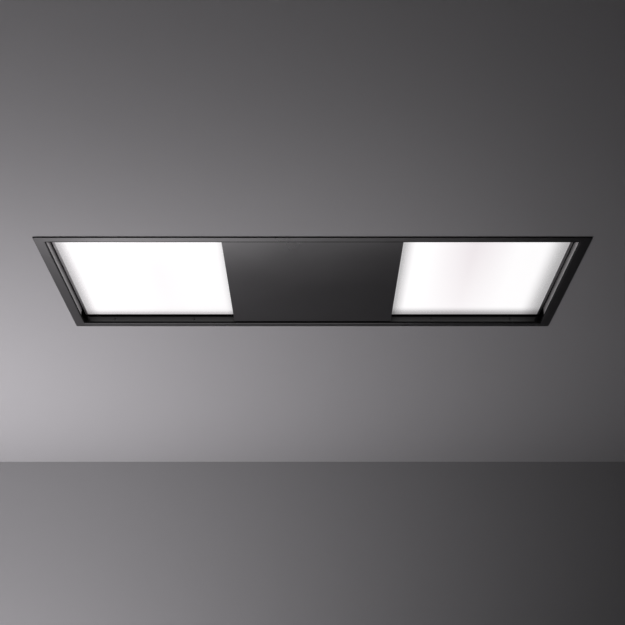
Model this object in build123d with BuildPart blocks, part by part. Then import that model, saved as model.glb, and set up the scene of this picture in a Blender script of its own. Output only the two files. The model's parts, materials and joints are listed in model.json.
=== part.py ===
from build123d import *
import math
import os

# A flush ceiling extractor hood, seen from below as a black rim with two lit panels and a centre door.
# Millimetres, Z up. Z = 0 is the underside of the ceiling, and the cook stands on the -Y side.

# The rim that shows under the ceiling
LENGTH = 1200.0
DEPTH = 600.0
RIM_WIDTH = 22.0
RIM_THICK = 3.0
RIM_CHAMFER = 0.8
RIM_CORNER = 1.5
RIM_SCREW_X = (-500.0, -300.0, -100.0, 100.0, 300.0, 500.0)
RIM_SCREW_Y = (-180.0, 0.0, 180.0)
RIM_SCREW_Z = 9.0
LIP_THICK = 1.5
LIP_TOP = 2.5
UPSTAND_TOP = 15.0
CHANNEL_FLOOR = 0.5
OPEN_X = LENGTH / 2 - RIM_WIDTH
OPEN_Y = DEPTH / 2 - RIM_WIDTH

# The tray above the ceiling
SHEET = 1.5
THIN = 1.2
WALL_IN_X = OPEN_X + LIP_THICK
WALL_IN_Y = OPEN_Y + LIP_THICK
WALL_X = WALL_IN_X + SHEET
WALL_Y = WALL_IN_Y + SHEET
CORNER_SLIT = 0.1
DECK_TOP = 105.0
DECK_LOW = DECK_TOP - SHEET
DECK_CORNER = 1.0
DECK_OPEN_X = 178.0
DECK_OPEN_Y = 155.0
BEAD_HEIGHT = 4.0
BEAD_WIDTH = 20.0
BEAD_LENGTH = 400.0
BEAD_X = (283.0, 552.0)

# Suction slot, door and light panels, as half extents from the middle of the hood
SLOT = 7.0
PANEL_Y = OPEN_Y - SLOT
LIGHT_OUT = OPEN_X - SLOT
DOOR_X = 197.0
DOOR_FAR = 265.0
DOOR_EDGE = 0.8
FAR_FOLD_X = 171.0
SEAM = 3.5
LIGHT_IN = DOOR_X + SEAM
LIGHT_MID = (LIGHT_IN + LIGHT_OUT) / 2
DOOR_FACE = -1.0
DOOR_TOP = 13.0
STIFFENER_Y = (-150.0, 0.0, 150.0)
STIFFENER_X = 188.0
STIFFENER_HALF = 14.0
STIFFENER_FOOT = 10.0
STIFFENER_HEIGHT = 7.5

# Light panel heights, from the glass up
GLASS_FACE = 18.0
BORDER = 3.5
BORDER_FACE = 19.0
BORDER_TOP = BORDER_FACE + SHEET
GLASS_TOP = 23.0
GLASS_GAP = 0.3
GLASS_REST = 1.0
GLASS_EDGE = 0.5
BEAD_SEAL_TOP = 24.4
BEAD_SEAL_WIDTH = 5.5
COVER_LOW = 32.5
COVER_TOP = COVER_LOW + SHEET
COVER_CORNER = 2.0
SWAGE = (360.0, 16.0, 1.5)
SWAGE_PITCH = 150.0
SWAGE_TAPER = 20.0
LED_BOARD = 1.6
LED_MARGIN = (12.0, 16.0)
LED_SIZE = 4.0
LED_HEIGHT = 0.8
LED_ROWS = 9
LED_COLUMNS = 6
TAB = 9.5
TAB_LENGTH = 14.0
TAB_HEIGHT = 4.0
TAB_Y = (-220.0, 0.0, 220.0)

# Hinges: pins along X near the far edge, each axis given by its Y and Z
LIGHT_AXIS = (262.0, 28.5)
DOOR_AXIS = (256.0, 8.0)
PIN_R = 2.5
RUNNING = 0.05
BUSH_R = 3.5
BUSH_FLANGE_R = 3.9
BUSH_FLANGE = 3.0
PIN_HEAD_R = 4.0
PIN_HEAD = 1.2
BRACKET_R = 6.0
PIN_REACH = 6.0
DOOR_BRACKET = (188.0, 189.5)
DOOR_BRACKET_FOOT = 164.0
INNER_BRACKET = (LIGHT_IN - 2.5, LIGHT_IN - 1.0)
INNER_BRACKET_FOOT = DOOR_BRACKET[1] + 2.0
OUTER_BRACKET = (LIGHT_OUT + 2.5, LIGHT_OUT + 4.0)
OUTER_BRACKET_TOP = 60.0

# Magnet catches on the near edge
MAGNET_GAP = 0.3
STRIKE = 1.0
STRIKE_LENGTH = 40.0
MAGNET_LENGTH = 30.0
MAGNET_WIDTH = 12.0
MAGNET_HEIGHT = 8.0
LIGHT_CATCH_X = (264.0, 504.0)
DOOR_CATCH_X = (-120.0, 120.0)
CATCH_Y = (-262.0, -246.0)
CATCH_FOOT = 26.0
MAGNET_INSET = 2.0
DOOR_CATCH_Y = (-268.0, -252.0)
DOOR_STRIKE_LOW = 3.0

# Grease filters under the deck opening
FILTER_IN = 1.5
FILTER_OUT = 183.5
FILTER_Y = 165.0
FILTER_LOW = 86.0
FILTER_TOP = 95.0
FILTER_LIP = 10.0
FILTER_MID = (FILTER_IN + FILTER_OUT) / 2
FILTER_SHEET = 1.0
BAFFLE_PITCH = 26.0
BAFFLE_WIDTH = 18.0
BAFFLE_SHEET = 0.8
BAFFLE_LEG = 4.0
BAFFLE_ROWS = (6, 7)
BAFFLE_END_GAP = 0.2
TONGUE_WIDTH = 20.0
TONGUE_AT = 50.0
TONGUE_LOW = 89.0
TONGUE_TOP = 90.5
TONGUE_END = 175.0
TONGUE_ROOM = (2.0, 2.25)
RAIL_Y = 170.0
RAIL_LOW = 80.0
RAIL_FOOT = 15.0
HANDLE = (30.0, 9.0)
HANDLE_Y = (-164.0, -156.0)
HANDLE_FOOT = 7.5
SEAT_LOW = 95.4
SEAT_Y = 166.0
SEAT_X = 185.0

# Blower box on the deck
BOX_X = 250.0
BOX_Y = 220.0
BOX_TOP = 295.0
BOX_FLANGE = 14.0
BOX_SCREW_X = (-200.0, -100.0, 0.0, 100.0, 200.0)
BOX_SCREW_Y = (-120.0, 0.0, 120.0)
LID_SKIRT = 12.0
LID_EDGE = 1.0
LID_SCREW_X = (-180.0, 0.0, 180.0)
LID_SCREW_DROP = 6.0
PLATE_LOW = 128.5
PLATE_TOP = PLATE_LOW + SHEET
PLATE_X = 245.0
PLATE_Y = (-216.0, 150.0)
PLATE_HOLE_R = 72.0
LEG_WIDTH = 30.0
INLET_RIM_R = 84.0
INLET_TOP = 139.0
INLET_INSIDE = (72.0, (63.0, 131.2), 59.0)
INLET_OUTSIDE = (71.5, (64.5, 132.4), 61.0)

# Blower: impeller, scroll and motor
FAN_X = -98.0
FAN_Y = -20.0
FAN_R = 100.0
EYE_R = 64.0
FAN_LOW = 136.0
FAN_TOP = 228.0
FAN_SHEET = 1.5
BLADES = 9
BLADE_THICK = 2.0
BLADE_MID = (82.0, 22.0)
BLADE_TIP = (88.0, 44.0)
HUB_R = 14.0
HUB_LOW = 206.0
SHAFT_R = 5.0
SHAFT_TOP = 284.0
SHAFT_HEAD_R = 8.0
SHAFT_HEAD = 4.0
SHAFT_EDGE = 0.6
SCROLL_START = 112.0
SCROLL_END = 168.0
SCROLL_ANGLE = 45.0
SCROLL_TOP = 238.0
SCROLL_STEPS = 12
SCROLL_BORE_R = 20.0
OUTLET_Y = 150.0
OUTLET_X = 70.0
MOTOR_R = 54.0
MOTOR_LOW = 242.0
MOTOR_TOP = 286.0
MOTOR_EDGE = 6.0
MOTOR_FLANGE_R = 68.0
MOTOR_FLANGE = 2.5
MOTOR_GROOVES = 16
GROOVE = (3.0, 2.4)
GROOVE_Z = (252.0, 276.0)
MOTOR_BUSH_CIRCLE = 60.0
MOTOR_BUSH_R = 7.5
MOTOR_BUSHES = 4

# Duct outlet and non-return damper
DUCT_Z = 200.0
DUCT_R = 75.0
DUCT_WALL = 1.5
DUCT_START = 188.0
DUCT_END = 280.0
DUCT_FLANGE_R = 82.0
DUCT_STOP = (231.0, 236.0)
DAMPER_Y = 204.0
DAMPER_PIN_R = 1.5
DAMPER_PIN_END = 0.2
DAMPER_SLEEVE_R = 3.0
FLAP_R = 72.8
FLAP_THICK = 1.2
FLAP_START = 3.4
KNUCKLES = {"left": ((-50, -20), (20, 50)), "right": ((-65, -52), (-18, 18), (52, 65))}

# Hanger brackets for M8 rods
HANGER_X = 500.0
HANGER_Y = 230.0
HANGER_TOP = 155.0
HANGER_SHEET = 2.5
HANGER_WIDTH = 50.0
HANGER_LEG = 40.0
HANGER_SCREW = (15.0, 4.0)
ROD_HOLE_R = 4.5

# Electrical parts on the deck
CONTROL_X = (-470.0, -320.0)
CONTROL_Y = (-90.0, 90.0)
CONTROL_TOP = 160.0
CONTROL_SHEET = 1.0
CONTROL_SKIRT = 9.0
BOARD_LOW = DECK_TOP + 7.0
BOARD_THICK = 1.6
BOARD_MARGIN = (25.0, 10.0, 12.0)
BOARD_POST_R = 3.0
BOARD_POST_INSET = 6.0
TERMINALS = (14.0, 14.0)
TERMINALS_INSET = (6.0, 20.0)
TRANSFORMER = (36.0, 26.0)
PARTS_INSET = 14.0
RELAY_Y = (10.0, 30.0, 50.0)
RELAY = (28.0, 14.0, 16.0)
GLAND_Y = 40.0
GLAND_Z = 132.0
GLAND_BORE_R = 5.0
GLAND_THREAD_R = 8.0
GLAND_NUT = (12.0, 6.0)
GLAND_BACK = 4.0
GLAND_DOME = (10.5, 12.0, 2.0)
DRIVER_X = (330.0, 480.0)
DRIVER_WIDTH = 45.0
DRIVER_HEIGHT = 28.0
DRIVER_TAB = (12.0, 3.0)
DRIVER_EDGE = 2.0
DRIVER_Y = (-60.0, 20.0)
CAPACITOR_X = (330.0, 410.0)
CAPACITOR_Y = 110.0
CAPACITOR_R = 18.0
CAPACITOR_RAISED = 2.0
CAPACITOR_EDGE = 2.0
SADDLE = (8.0, 14.0, 8.0)
TERMINAL = (6.0, 1.0, 8.0)
TERMINAL_PITCH = 12.0

# Screws
SCREW_R = 2.0
SCREW_HEAD_R = 4.0
SCREW_HEAD = 2.4
SCREW_FIT = 0.1
DECK_SCREW_R = 2.5
DECK_HEAD_R = 5.0
DECK_HEAD = 4.0
SMALL_SCREW_R = 1.5
SMALL_HEAD_R = 2.8
SMALL_HEAD = 1.6

UP = (Align.CENTER, Align.CENTER, Align.MIN)
DOWN = (Align.CENTER, Align.CENTER, Align.MAX)
SIDES = {"left": -1, "right": 1}

os.makedirs("parts", exist_ok=True)


def save(name, builder):
    """Labels a finished piece and writes it to its own file."""
    builder.part.label = name
    export_step(builder.part, f"parts/{name}.step")


def between(x, y, z, mode=Mode.ADD):
    """A block between two corners, each axis given as a low and high pair."""
    with Locations((sum(x) / 2, sum(y) / 2, sum(z) / 2)):
        Box(x[1] - x[0], y[1] - y[0], z[1] - z[0], mode=mode)


def across(side, inner, outer):
    """The X range between two distances from the middle, on the side given by -1 or 1."""
    return tuple(sorted((side * inner, side * outer)))


def facing(points, direction):
    """A plane at each point whose normal is the direction given."""
    return [Plane(origin=point, z_dir=direction) for point in points]


def holes(planes, radius, depth):
    """Cuts a round hole both ways from each plane in the part that is open."""
    with Locations(*planes):
        Cylinder(radius, 2 * depth, mode=Mode.SUBTRACT)


def screws(planes, head_radius, head, radius, length):
    """Cross-head screws whose heads stand on the planes and whose shanks go in below them."""
    with Locations(*planes):
        Cylinder(head_radius, head, align=UP)
        Cylinder(radius, length, align=DOWN)
    with Locations(*[plane.offset(head) for plane in planes]):
        Box(head_radius, 0.3 * head_radius, head, mode=Mode.SUBTRACT)
        Box(0.3 * head_radius, head_radius, head, mode=Mode.SUBTRACT)


def rim_screw_planes(x_face, y_face, z):
    """Where the tray is screwed into the rim's upstand, on all four sides."""
    return (
        facing([(x, -y_face, z) for x in RIM_SCREW_X], (0, -1, 0))
        + facing([(x, y_face, z) for x in RIM_SCREW_X], (0, 1, 0))
        + facing([(-x_face, y, z) for y in RIM_SCREW_Y], (-1, 0, 0))
        + facing([(x_face, y, z) for y in RIM_SCREW_Y], (1, 0, 0))
    )


rim_screws = rim_screw_planes(WALL_X + LIP_THICK, WALL_Y + LIP_THICK, RIM_SCREW_Z)
box_screw_at = (BOX_X + BOX_FLANGE / 2, BOX_Y + BOX_FLANGE / 2)
box_screws = facing(
    [(x, y, DECK_TOP + THIN) for x in BOX_SCREW_X for y in (-box_screw_at[1], box_screw_at[1])]
    + [(x, y, DECK_TOP + THIN) for x in (-box_screw_at[0], box_screw_at[0]) for y in BOX_SCREW_Y],
    (0, 0, 1),
)
hanger_screws = facing(
    [
        (sx * HANGER_X + x, sy * (HANGER_Y + HANGER_SCREW[1]), DECK_TOP + HANGER_SHEET)
        for sx in (-1, 1)
        for sy in (-1, 1)
        for x in (-HANGER_SCREW[0], HANGER_SCREW[0])
    ],
    (0, 0, 1),
)

# Trim frame: a flat ring with a chamfered inner edge, a short inner lip and an outer upstand
with BuildPart() as trim_frame:
    with BuildSketch(Plane.XY.offset(-RIM_THICK)):
        RectangleRounded(LENGTH, DEPTH, RIM_CORNER)
        Rectangle(2 * OPEN_X, 2 * OPEN_Y, mode=Mode.SUBTRACT)
    extrude(amount=RIM_THICK)
    inner_edges = [
        edge
        for edge in trim_frame.edges().group_by(Axis.Z)[0]
        if abs(edge.center().X) <= OPEN_X + 0.1 and abs(edge.center().Y) <= OPEN_Y + 0.1
    ]
    chamfer(inner_edges, RIM_CHAMFER)
    for inner, outer, top in (
        ((OPEN_X, OPEN_Y), (WALL_X, WALL_Y), CHANNEL_FLOOR),
        ((OPEN_X, OPEN_Y), (WALL_IN_X, WALL_IN_Y), LIP_TOP),
        ((WALL_X, WALL_Y), (WALL_X + LIP_THICK, WALL_Y + LIP_THICK), UPSTAND_TOP),
    ):
        with BuildSketch():
            Rectangle(2 * outer[0], 2 * outer[1])
            Rectangle(2 * inner[0], 2 * inner[1], mode=Mode.SUBTRACT)
        extrude(amount=top)
    holes(rim_screws, SCREW_R + SCREW_FIT, 2 * SHEET)
save("trim_frame", trim_frame)

# Tray walls: four plates that stand in the rim's channel, with a hairline slit at each corner
with BuildPart() as liner_walls:
    wall_z = (CHANNEL_FLOOR, DECK_LOW)
    short_wall_y = (-WALL_IN_Y + CORNER_SLIT, WALL_IN_Y - CORNER_SLIT)
    for side in SIDES.values():
        between((-WALL_X, WALL_X), across(side, WALL_IN_Y, WALL_Y), wall_z)
        between(across(side, WALL_IN_X, WALL_X), short_wall_y, wall_z)
    holes(rim_screws, SCREW_R + SCREW_FIT, 2 * LIP_THICK + SHEET)
save("liner_walls", liner_walls)

# Tray deck: a plate on the walls, with the way up to the blower and pressed stiffening beads
with BuildPart() as liner_deck:
    between((-WALL_X, WALL_X), (-WALL_Y, WALL_Y), (DECK_LOW, DECK_TOP))
    fillet(liner_deck.edges().filter_by(Axis.Z), DECK_CORNER)
    between((-DECK_OPEN_X, DECK_OPEN_X), (-DECK_OPEN_Y, DECK_OPEN_Y), (DECK_LOW, DECK_TOP), Mode.SUBTRACT)
    bead_at = [(side * x, 0) for side in (-1, 1) for x in BEAD_X]
    with BuildSketch(Plane.XY.offset(DECK_TOP)):
        with Locations(*bead_at):
            SlotOverall(BEAD_LENGTH, BEAD_WIDTH, rotation=90)
    extrude(amount=BEAD_HEIGHT)
    with BuildSketch(Plane.XY.offset(DECK_LOW)):
        with Locations(*bead_at):
            SlotOverall(BEAD_LENGTH - 2 * SHEET, BEAD_WIDTH - 2 * SHEET, rotation=90)
    extrude(amount=BEAD_HEIGHT, mode=Mode.SUBTRACT)
    holes(box_screws + hanger_screws, DECK_SCREW_R + SCREW_FIT, 2 * HANGER_SHEET)
save("liner_deck", liner_deck)

with BuildPart() as trim_screws:
    screws(rim_screws, SCREW_HEAD_R, SCREW_HEAD, SCREW_R, LIP_THICK + SHEET)
save("trim_screws", trim_screws)

with BuildPart() as deck_screws:
    screws(box_screws, DECK_HEAD_R, DECK_HEAD, DECK_SCREW_R, THIN + 4 * SHEET)
    screws(hanger_screws, DECK_HEAD_R, DECK_HEAD, DECK_SCREW_R, HANGER_SHEET + 4 * SHEET)
save("deck_screws", deck_screws)

# Hanger brackets: four folded channels with a hole for an M8 rod in each top leg
with BuildPart() as hanger_brackets:
    for side_x in (-1, 1):
        for side_y in (-1, 1):
            x = (side_x * HANGER_X - HANGER_WIDTH / 2, side_x * HANGER_X + HANGER_WIDTH / 2)
            leg = across(side_y, HANGER_Y - HANGER_LEG / 2, HANGER_Y + HANGER_LEG / 2)
            web_from = HANGER_Y - HANGER_LEG / 2
            web = across(side_y, web_from, web_from + HANGER_SHEET)
            between(x, leg, (DECK_TOP, DECK_TOP + HANGER_SHEET))
            between(x, web, (DECK_TOP, HANGER_TOP))
            between(x, leg, (HANGER_TOP - HANGER_SHEET, HANGER_TOP))
    rod_points = [(sx * HANGER_X, sy * HANGER_Y, HANGER_TOP) for sx in (-1, 1) for sy in (-1, 1)]
    holes(facing(rod_points, (0, 0, 1)), ROD_HOLE_R, HANGER_SHEET + 1)
    holes(hanger_screws, DECK_SCREW_R + SCREW_FIT, HANGER_SHEET)
save("hanger_brackets", hanger_brackets)


def pin_planes(side, ends, axis):
    """Planes for the two hinge pins of one panel: at each X given, looking into the panel."""
    return [
        Plane(origin=(side * ends[0], *axis), z_dir=(side, 0, 0)),
        Plane(origin=(side * ends[1], *axis), z_dir=(-side, 0, 0)),
    ]


light_frame_x = (LIGHT_IN, LIGHT_OUT)
panel_y = (-PANEL_Y, PANEL_Y)


def light_frame(side):
    """A light panel's folded frame: a border on three sides, and the glass as the edge towards the door."""
    with BuildPart() as frame:
        between(across(side, *light_frame_x), panel_y, (BORDER_FACE, COVER_LOW))
        between(
            across(side, LIGHT_IN + SHEET, LIGHT_OUT - SHEET),
            (-PANEL_Y + SHEET, PANEL_Y - SHEET),
            (BORDER_TOP, COVER_LOW),
            Mode.SUBTRACT,
        )
        between(
            across(side, LIGHT_IN, LIGHT_OUT - BORDER),
            (-PANEL_Y + BORDER, PANEL_Y - BORDER),
            (BORDER_FACE, BORDER_TOP),
            Mode.SUBTRACT,
        )
        between(
            across(side, LIGHT_IN, LIGHT_IN + SHEET),
            (-PANEL_Y + SHEET, PANEL_Y - SHEET),
            (BORDER_FACE, GLASS_TOP + GLASS_GAP),
            Mode.SUBTRACT,
        )
        for y in TAB_Y:
            tab_y = (y - TAB_LENGTH / 2, y + TAB_LENGTH / 2)
            tab_z = (COVER_LOW - TAB_HEIGHT, COVER_LOW)
            between(across(side, LIGHT_IN + SHEET, LIGHT_IN + SHEET + TAB), tab_y, tab_z)
            between(across(side, LIGHT_OUT - SHEET - TAB, LIGHT_OUT - SHEET), tab_y, tab_z)
        holes(cover_screw_planes(side), SMALL_SCREW_R + SCREW_FIT, COVER_TOP - COVER_LOW + TAB_HEIGHT)
        holes(pin_planes(side, light_frame_x, LIGHT_AXIS), BUSH_R, SHEET)
    return frame


def cover_screw_planes(side):
    """Where a light panel's back cover is screwed to the frame's tabs."""
    rows = (LIGHT_IN + SHEET + TAB / 2, LIGHT_OUT - SHEET - TAB / 2)
    return facing([(side * x, y, COVER_TOP) for x in rows for y in TAB_Y], (0, 0, 1))


def light_glass(side):
    """Opal glass with a rebate: its face stands 1 mm proud of the border, and its back rests on it."""
    with BuildPart() as glass:
        between(
            across(side, LIGHT_IN, LIGHT_OUT - BORDER - GLASS_GAP),
            (-PANEL_Y + BORDER + GLASS_GAP, PANEL_Y - BORDER - GLASS_GAP),
            (GLASS_FACE, BORDER_TOP),
        )
        chamfer(glass.edges().group_by(Axis.Z)[0], GLASS_EDGE)
        between(
            across(side, LIGHT_IN, LIGHT_OUT - SHEET - GLASS_REST),
            (-PANEL_Y + SHEET + GLASS_REST, PANEL_Y - SHEET - GLASS_REST),
            (BORDER_TOP, GLASS_TOP),
        )
    return glass


def light_seal(side):
    """The black bead that bonds the back of the glass to the frame's walls."""
    outer_x = (LIGHT_IN + SHEET, LIGHT_OUT - SHEET)
    outer_y = PANEL_Y - SHEET
    inner_x = (outer_x[0] + BEAD_SEAL_WIDTH, outer_x[1] - BEAD_SEAL_WIDTH)
    inner_y = outer_y - BEAD_SEAL_WIDTH
    height = (GLASS_TOP, BEAD_SEAL_TOP)
    with BuildPart() as seal:
        between(across(side, *outer_x), (-outer_y, outer_y), height)
        between(across(side, *inner_x), (-inner_y, inner_y), height, Mode.SUBTRACT)
    return seal


def led_board(side):
    """White board with rows of LEDs that face down, lying against the back cover."""
    board_x = (LIGHT_IN + LED_MARGIN[0], LIGHT_OUT - LED_MARGIN[0])
    board_y = (-PANEL_Y + LED_MARGIN[1], PANEL_Y - LED_MARGIN[1])
    with BuildPart() as board:
        between(across(side, *board_x), board_y, (COVER_LOW - LED_BOARD, COVER_LOW))
        led_plane = Plane((side * LIGHT_MID, 0, COVER_LOW - LED_BOARD))
        pitch_x = (board_x[1] - board_x[0]) / LED_COLUMNS
        pitch_y = (board_y[1] - board_y[0]) / LED_ROWS
        with Locations(led_plane):
            with GridLocations(pitch_x, pitch_y, LED_COLUMNS, LED_ROWS):
                Box(LED_SIZE, LED_SIZE, LED_HEIGHT, align=DOWN)
    return board


def light_cover(side):
    """Back cover of a light panel, with two shallow stiffening swages."""
    with BuildPart() as cover:
        with BuildSketch(Plane((side * LIGHT_MID, 0, COVER_LOW))):
            RectangleRounded(LIGHT_OUT - LIGHT_IN, 2 * PANEL_Y, COVER_CORNER)
        extrude(amount=SHEET)
        with BuildSketch(Plane((side * LIGHT_MID, 0, COVER_TOP))):
            with GridLocations(SWAGE_PITCH, 0, 2, 1):
                SlotOverall(SWAGE[0], SWAGE[1], rotation=90)
        extrude(amount=SWAGE[2], taper=SWAGE_TAPER)
        holes(cover_screw_planes(side), SMALL_SCREW_R + SCREW_FIT, SHEET)
    return cover


def cover_screws(side):
    """Six small screws that hold a light panel's back cover."""
    with BuildPart() as fixings:
        screws(cover_screw_planes(side), SMALL_HEAD_R, SMALL_HEAD, SMALL_SCREW_R, 3 * SHEET)
    return fixings


def light_strikes(side):
    """Two steel plates on the back cover that the catch magnets hold."""
    with BuildPart() as strikes:
        for x in LIGHT_CATCH_X:
            plate = (side * x - STRIKE_LENGTH / 2, side * x + STRIKE_LENGTH / 2)
            between(plate, CATCH_Y, (COVER_TOP, COVER_TOP + STRIKE))
    return strikes


def bushes(planes):
    """Flanged plastic bushes, one pressed in from the inside of each wall, seen from the plane outside."""
    with BuildPart() as group:
        with Locations(*planes):
            Cylinder(BUSH_R, SHEET, align=UP)
        with Locations(*[plane.offset(SHEET) for plane in planes]):
            Cylinder(BUSH_FLANGE_R, BUSH_FLANGE, align=UP)
        holes(planes, PIN_R + RUNNING, BUSH_FLANGE + 2 * SHEET)
    return group


for name, side in SIDES.items():
    save(f"{name}_light_frame", light_frame(side))
    save(f"{name}_light_glass", light_glass(side))
    save(f"{name}_light_seal", light_seal(side))
    save(f"{name}_led_board", led_board(side))
    save(f"{name}_light_cover", light_cover(side))
    save(f"{name}_cover_screws", cover_screws(side))
    save(f"{name}_light_strikes", light_strikes(side))
    save(f"{name}_hinge_bushes", bushes(pin_planes(side, light_frame_x, LIGHT_AXIS)))


def hinge_bracket(x, foot_x, axis, top):
    """An upright hinge plate, round about the pin, whose top is folded over, in the part that is open."""
    bracket_y = (axis[0] - BRACKET_R, axis[0] + BRACKET_R)
    with Locations((sum(x) / 2, *axis)):
        Cylinder(BRACKET_R, x[1] - x[0], rotation=(0, 90, 0))
    between(x, bracket_y, (axis[1], top))
    between(foot_x, bracket_y, (top - SHEET, top))


# Hinge brackets: each panel hangs between two, from the deck or from an end wall
with BuildPart() as hinge_brackets:
    for side in SIDES.values():
        outer_foot = across(side, OUTER_BRACKET[0], WALL_IN_X)
        inner_foot = across(side, INNER_BRACKET_FOOT, INNER_BRACKET[1])
        door_foot = across(side, DOOR_BRACKET_FOOT, DOOR_BRACKET[1])
        hinge_bracket(across(side, *OUTER_BRACKET), outer_foot, LIGHT_AXIS, OUTER_BRACKET_TOP)
        hinge_bracket(across(side, *INNER_BRACKET), inner_foot, LIGHT_AXIS, DECK_LOW)
        hinge_bracket(across(side, *DOOR_BRACKET), door_foot, DOOR_AXIS, DECK_LOW)
        holes(pin_planes(side, (INNER_BRACKET[0], OUTER_BRACKET[1]), LIGHT_AXIS), PIN_R, PIN_REACH)
        holes(pin_planes(side, (DOOR_BRACKET[0], DOOR_X), DOOR_AXIS)[:1], PIN_R, PIN_REACH)
save("hinge_brackets", hinge_brackets)

# Hinge pins: headed, pressed into the brackets
with BuildPart() as hinge_pins:
    for side in SIDES.values():
        inner, outer = pin_planes(side, (INNER_BRACKET[0], OUTER_BRACKET[1]), LIGHT_AXIS)
        door_pin = pin_planes(side, (DOOR_BRACKET[0], DOOR_X), DOOR_AXIS)[0]
        for plane, length in (
            (inner, LIGHT_IN - INNER_BRACKET[0] + PIN_REACH),
            (outer, OUTER_BRACKET[1] - LIGHT_OUT + PIN_REACH),
            (door_pin, DOOR_X - DOOR_BRACKET[0]),
        ):
            with Locations(plane):
                Cylinder(PIN_R, length, align=UP)
                Cylinder(PIN_HEAD_R, PIN_HEAD, align=DOWN)
save("hinge_pins", hinge_pins)

# Centre door: a pan folded from one sheet, with its far fold cut back beside the hinges
door_planes = pin_planes(1, (-DOOR_X, DOOR_X), DOOR_AXIS)
with BuildPart() as centre_door:
    inside_x = (-DOOR_X + SHEET, DOOR_X - SHEET)
    inside_y = (-PANEL_Y + SHEET, DOOR_FAR - SHEET)
    between((-DOOR_X, DOOR_X), (-PANEL_Y, DOOR_FAR), (DOOR_FACE, DOOR_TOP))
    fillet(centre_door.edges().group_by(Axis.Z)[0], DOOR_EDGE)
    between(inside_x, inside_y, (DOOR_FACE + SHEET, DOOR_TOP), Mode.SUBTRACT)
    for side in SIDES.values():
        between(
            across(side, FAR_FOLD_X, DOOR_X - SHEET),
            (DOOR_FAR - SHEET, DOOR_FAR),
            (DOOR_FACE + SHEET, DOOR_TOP),
            Mode.SUBTRACT,
        )
    holes(door_planes, BUSH_R, SHEET)
save("centre_door", centre_door)

# Stiffeners: three hat sections across the back of the door
with BuildPart() as door_stiffeners:
    base = DOOR_FACE + SHEET
    hat_x = (-STIFFENER_X, STIFFENER_X)
    for y in STIFFENER_Y:
        hat_y = (y - STIFFENER_HALF, y + STIFFENER_HALF)
        hollow_y = (hat_y[0] + THIN, hat_y[1] - THIN)
        between(hat_x, hat_y, (base, base + STIFFENER_HEIGHT))
        between(hat_x, hollow_y, (base, base + STIFFENER_HEIGHT - THIN), Mode.SUBTRACT)
        between(hat_x, (hat_y[0] - STIFFENER_FOOT, hat_y[0]), (base, base + THIN))
        between(hat_x, (hat_y[1], hat_y[1] + STIFFENER_FOOT), (base, base + THIN))
save("door_stiffeners", door_stiffeners)

with BuildPart() as door_strikes:
    for x in DOOR_CATCH_X:
        plate = (x - STRIKE_LENGTH / 2, x + STRIKE_LENGTH / 2)
        near = -PANEL_Y + SHEET
        between(plate, (near, near + STRIKE), (DOOR_STRIKE_LOW, DOOR_TOP))
        between(plate, (near, DOOR_CATCH_Y[1]), (DOOR_TOP - STRIKE, DOOR_TOP))
save("door_strikes", door_strikes)

save("door_hinge_bushes", bushes(door_planes))

# Catches: folded brackets on the near wall, each with a magnet under it
light_magnet_low = COVER_TOP + STRIKE + MAGNET_GAP
door_magnet_low = DOOR_TOP + MAGNET_GAP
light_catches = [side * x for side in SIDES.values() for x in LIGHT_CATCH_X]


def catch_bracket(x, end_y, low):
    """A right-angle bracket on the near wall, in the part that is open."""
    width = (x - STRIKE_LENGTH / 2, x + STRIKE_LENGTH / 2)
    between(width, (-WALL_IN_Y, end_y), (low, low + SHEET))
    between(width, (-WALL_IN_Y, -WALL_IN_Y + SHEET), (low, low + CATCH_FOOT))


with BuildPart() as catch_brackets:
    for x in light_catches:
        catch_bracket(x, CATCH_Y[1], light_magnet_low + MAGNET_HEIGHT)
    for x in DOOR_CATCH_X:
        catch_bracket(x, DOOR_CATCH_Y[1], door_magnet_low + MAGNET_HEIGHT)
save("catch_brackets", catch_brackets)


def magnet(x, y, z):
    """One magnet, with its length along X about the place given."""
    between((x - MAGNET_LENGTH / 2, x + MAGNET_LENGTH / 2), y, z)


with BuildPart() as catch_magnets:
    for places, end_y, low in (
        (light_catches, CATCH_Y[1] - MAGNET_INSET, light_magnet_low),
        (DOOR_CATCH_X, DOOR_CATCH_Y[1] - MAGNET_INSET, door_magnet_low),
    ):
        for x in places:
            magnet(x, (end_y - MAGNET_WIDTH, end_y), (low, low + MAGNET_HEIGHT))
    for side in SIDES.values():
        magnet(side * FILTER_MID, (-SEAT_Y + THIN, -DECK_OPEN_Y - 1), (FILTER_TOP + MAGNET_GAP, DECK_LOW))
save("catch_magnets", catch_magnets)

# Filter seat: a skirt round the deck opening with a middle bar
with BuildPart() as filter_seat:
    seat_z = (SEAT_LOW, DECK_LOW)
    between((-SEAT_X, SEAT_X), (-SEAT_Y, SEAT_Y), seat_z)
    between((-SEAT_X + THIN, SEAT_X - THIN), (-SEAT_Y + THIN, SEAT_Y - THIN), seat_z, Mode.SUBTRACT)
    between((-THIN / 2, THIN / 2), (-SEAT_Y, SEAT_Y), seat_z)
save("filter_seat", filter_seat)

tongue_centres = [side * FILTER_MID + at for side in SIDES.values() for at in (-TONGUE_AT, TONGUE_AT)]
with BuildPart() as filter_hook_rail:
    between((-SEAT_X, SEAT_X), (RAIL_Y, RAIL_Y + SHEET), (RAIL_LOW, DECK_LOW))
    between((-SEAT_X, SEAT_X), (RAIL_Y, RAIL_Y + RAIL_FOOT), (DECK_LOW - SHEET, DECK_LOW))
    for x in tongue_centres:
        half = TONGUE_WIDTH / 2 + TONGUE_ROOM[0]
        slot_z = (TONGUE_LOW - TONGUE_ROOM[1], TONGUE_TOP + TONGUE_ROOM[1])
        between((x - half, x + half), (RAIL_Y, RAIL_Y + SHEET), slot_z, Mode.SUBTRACT)
save("filter_hook_rail", filter_hook_rail)


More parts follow.
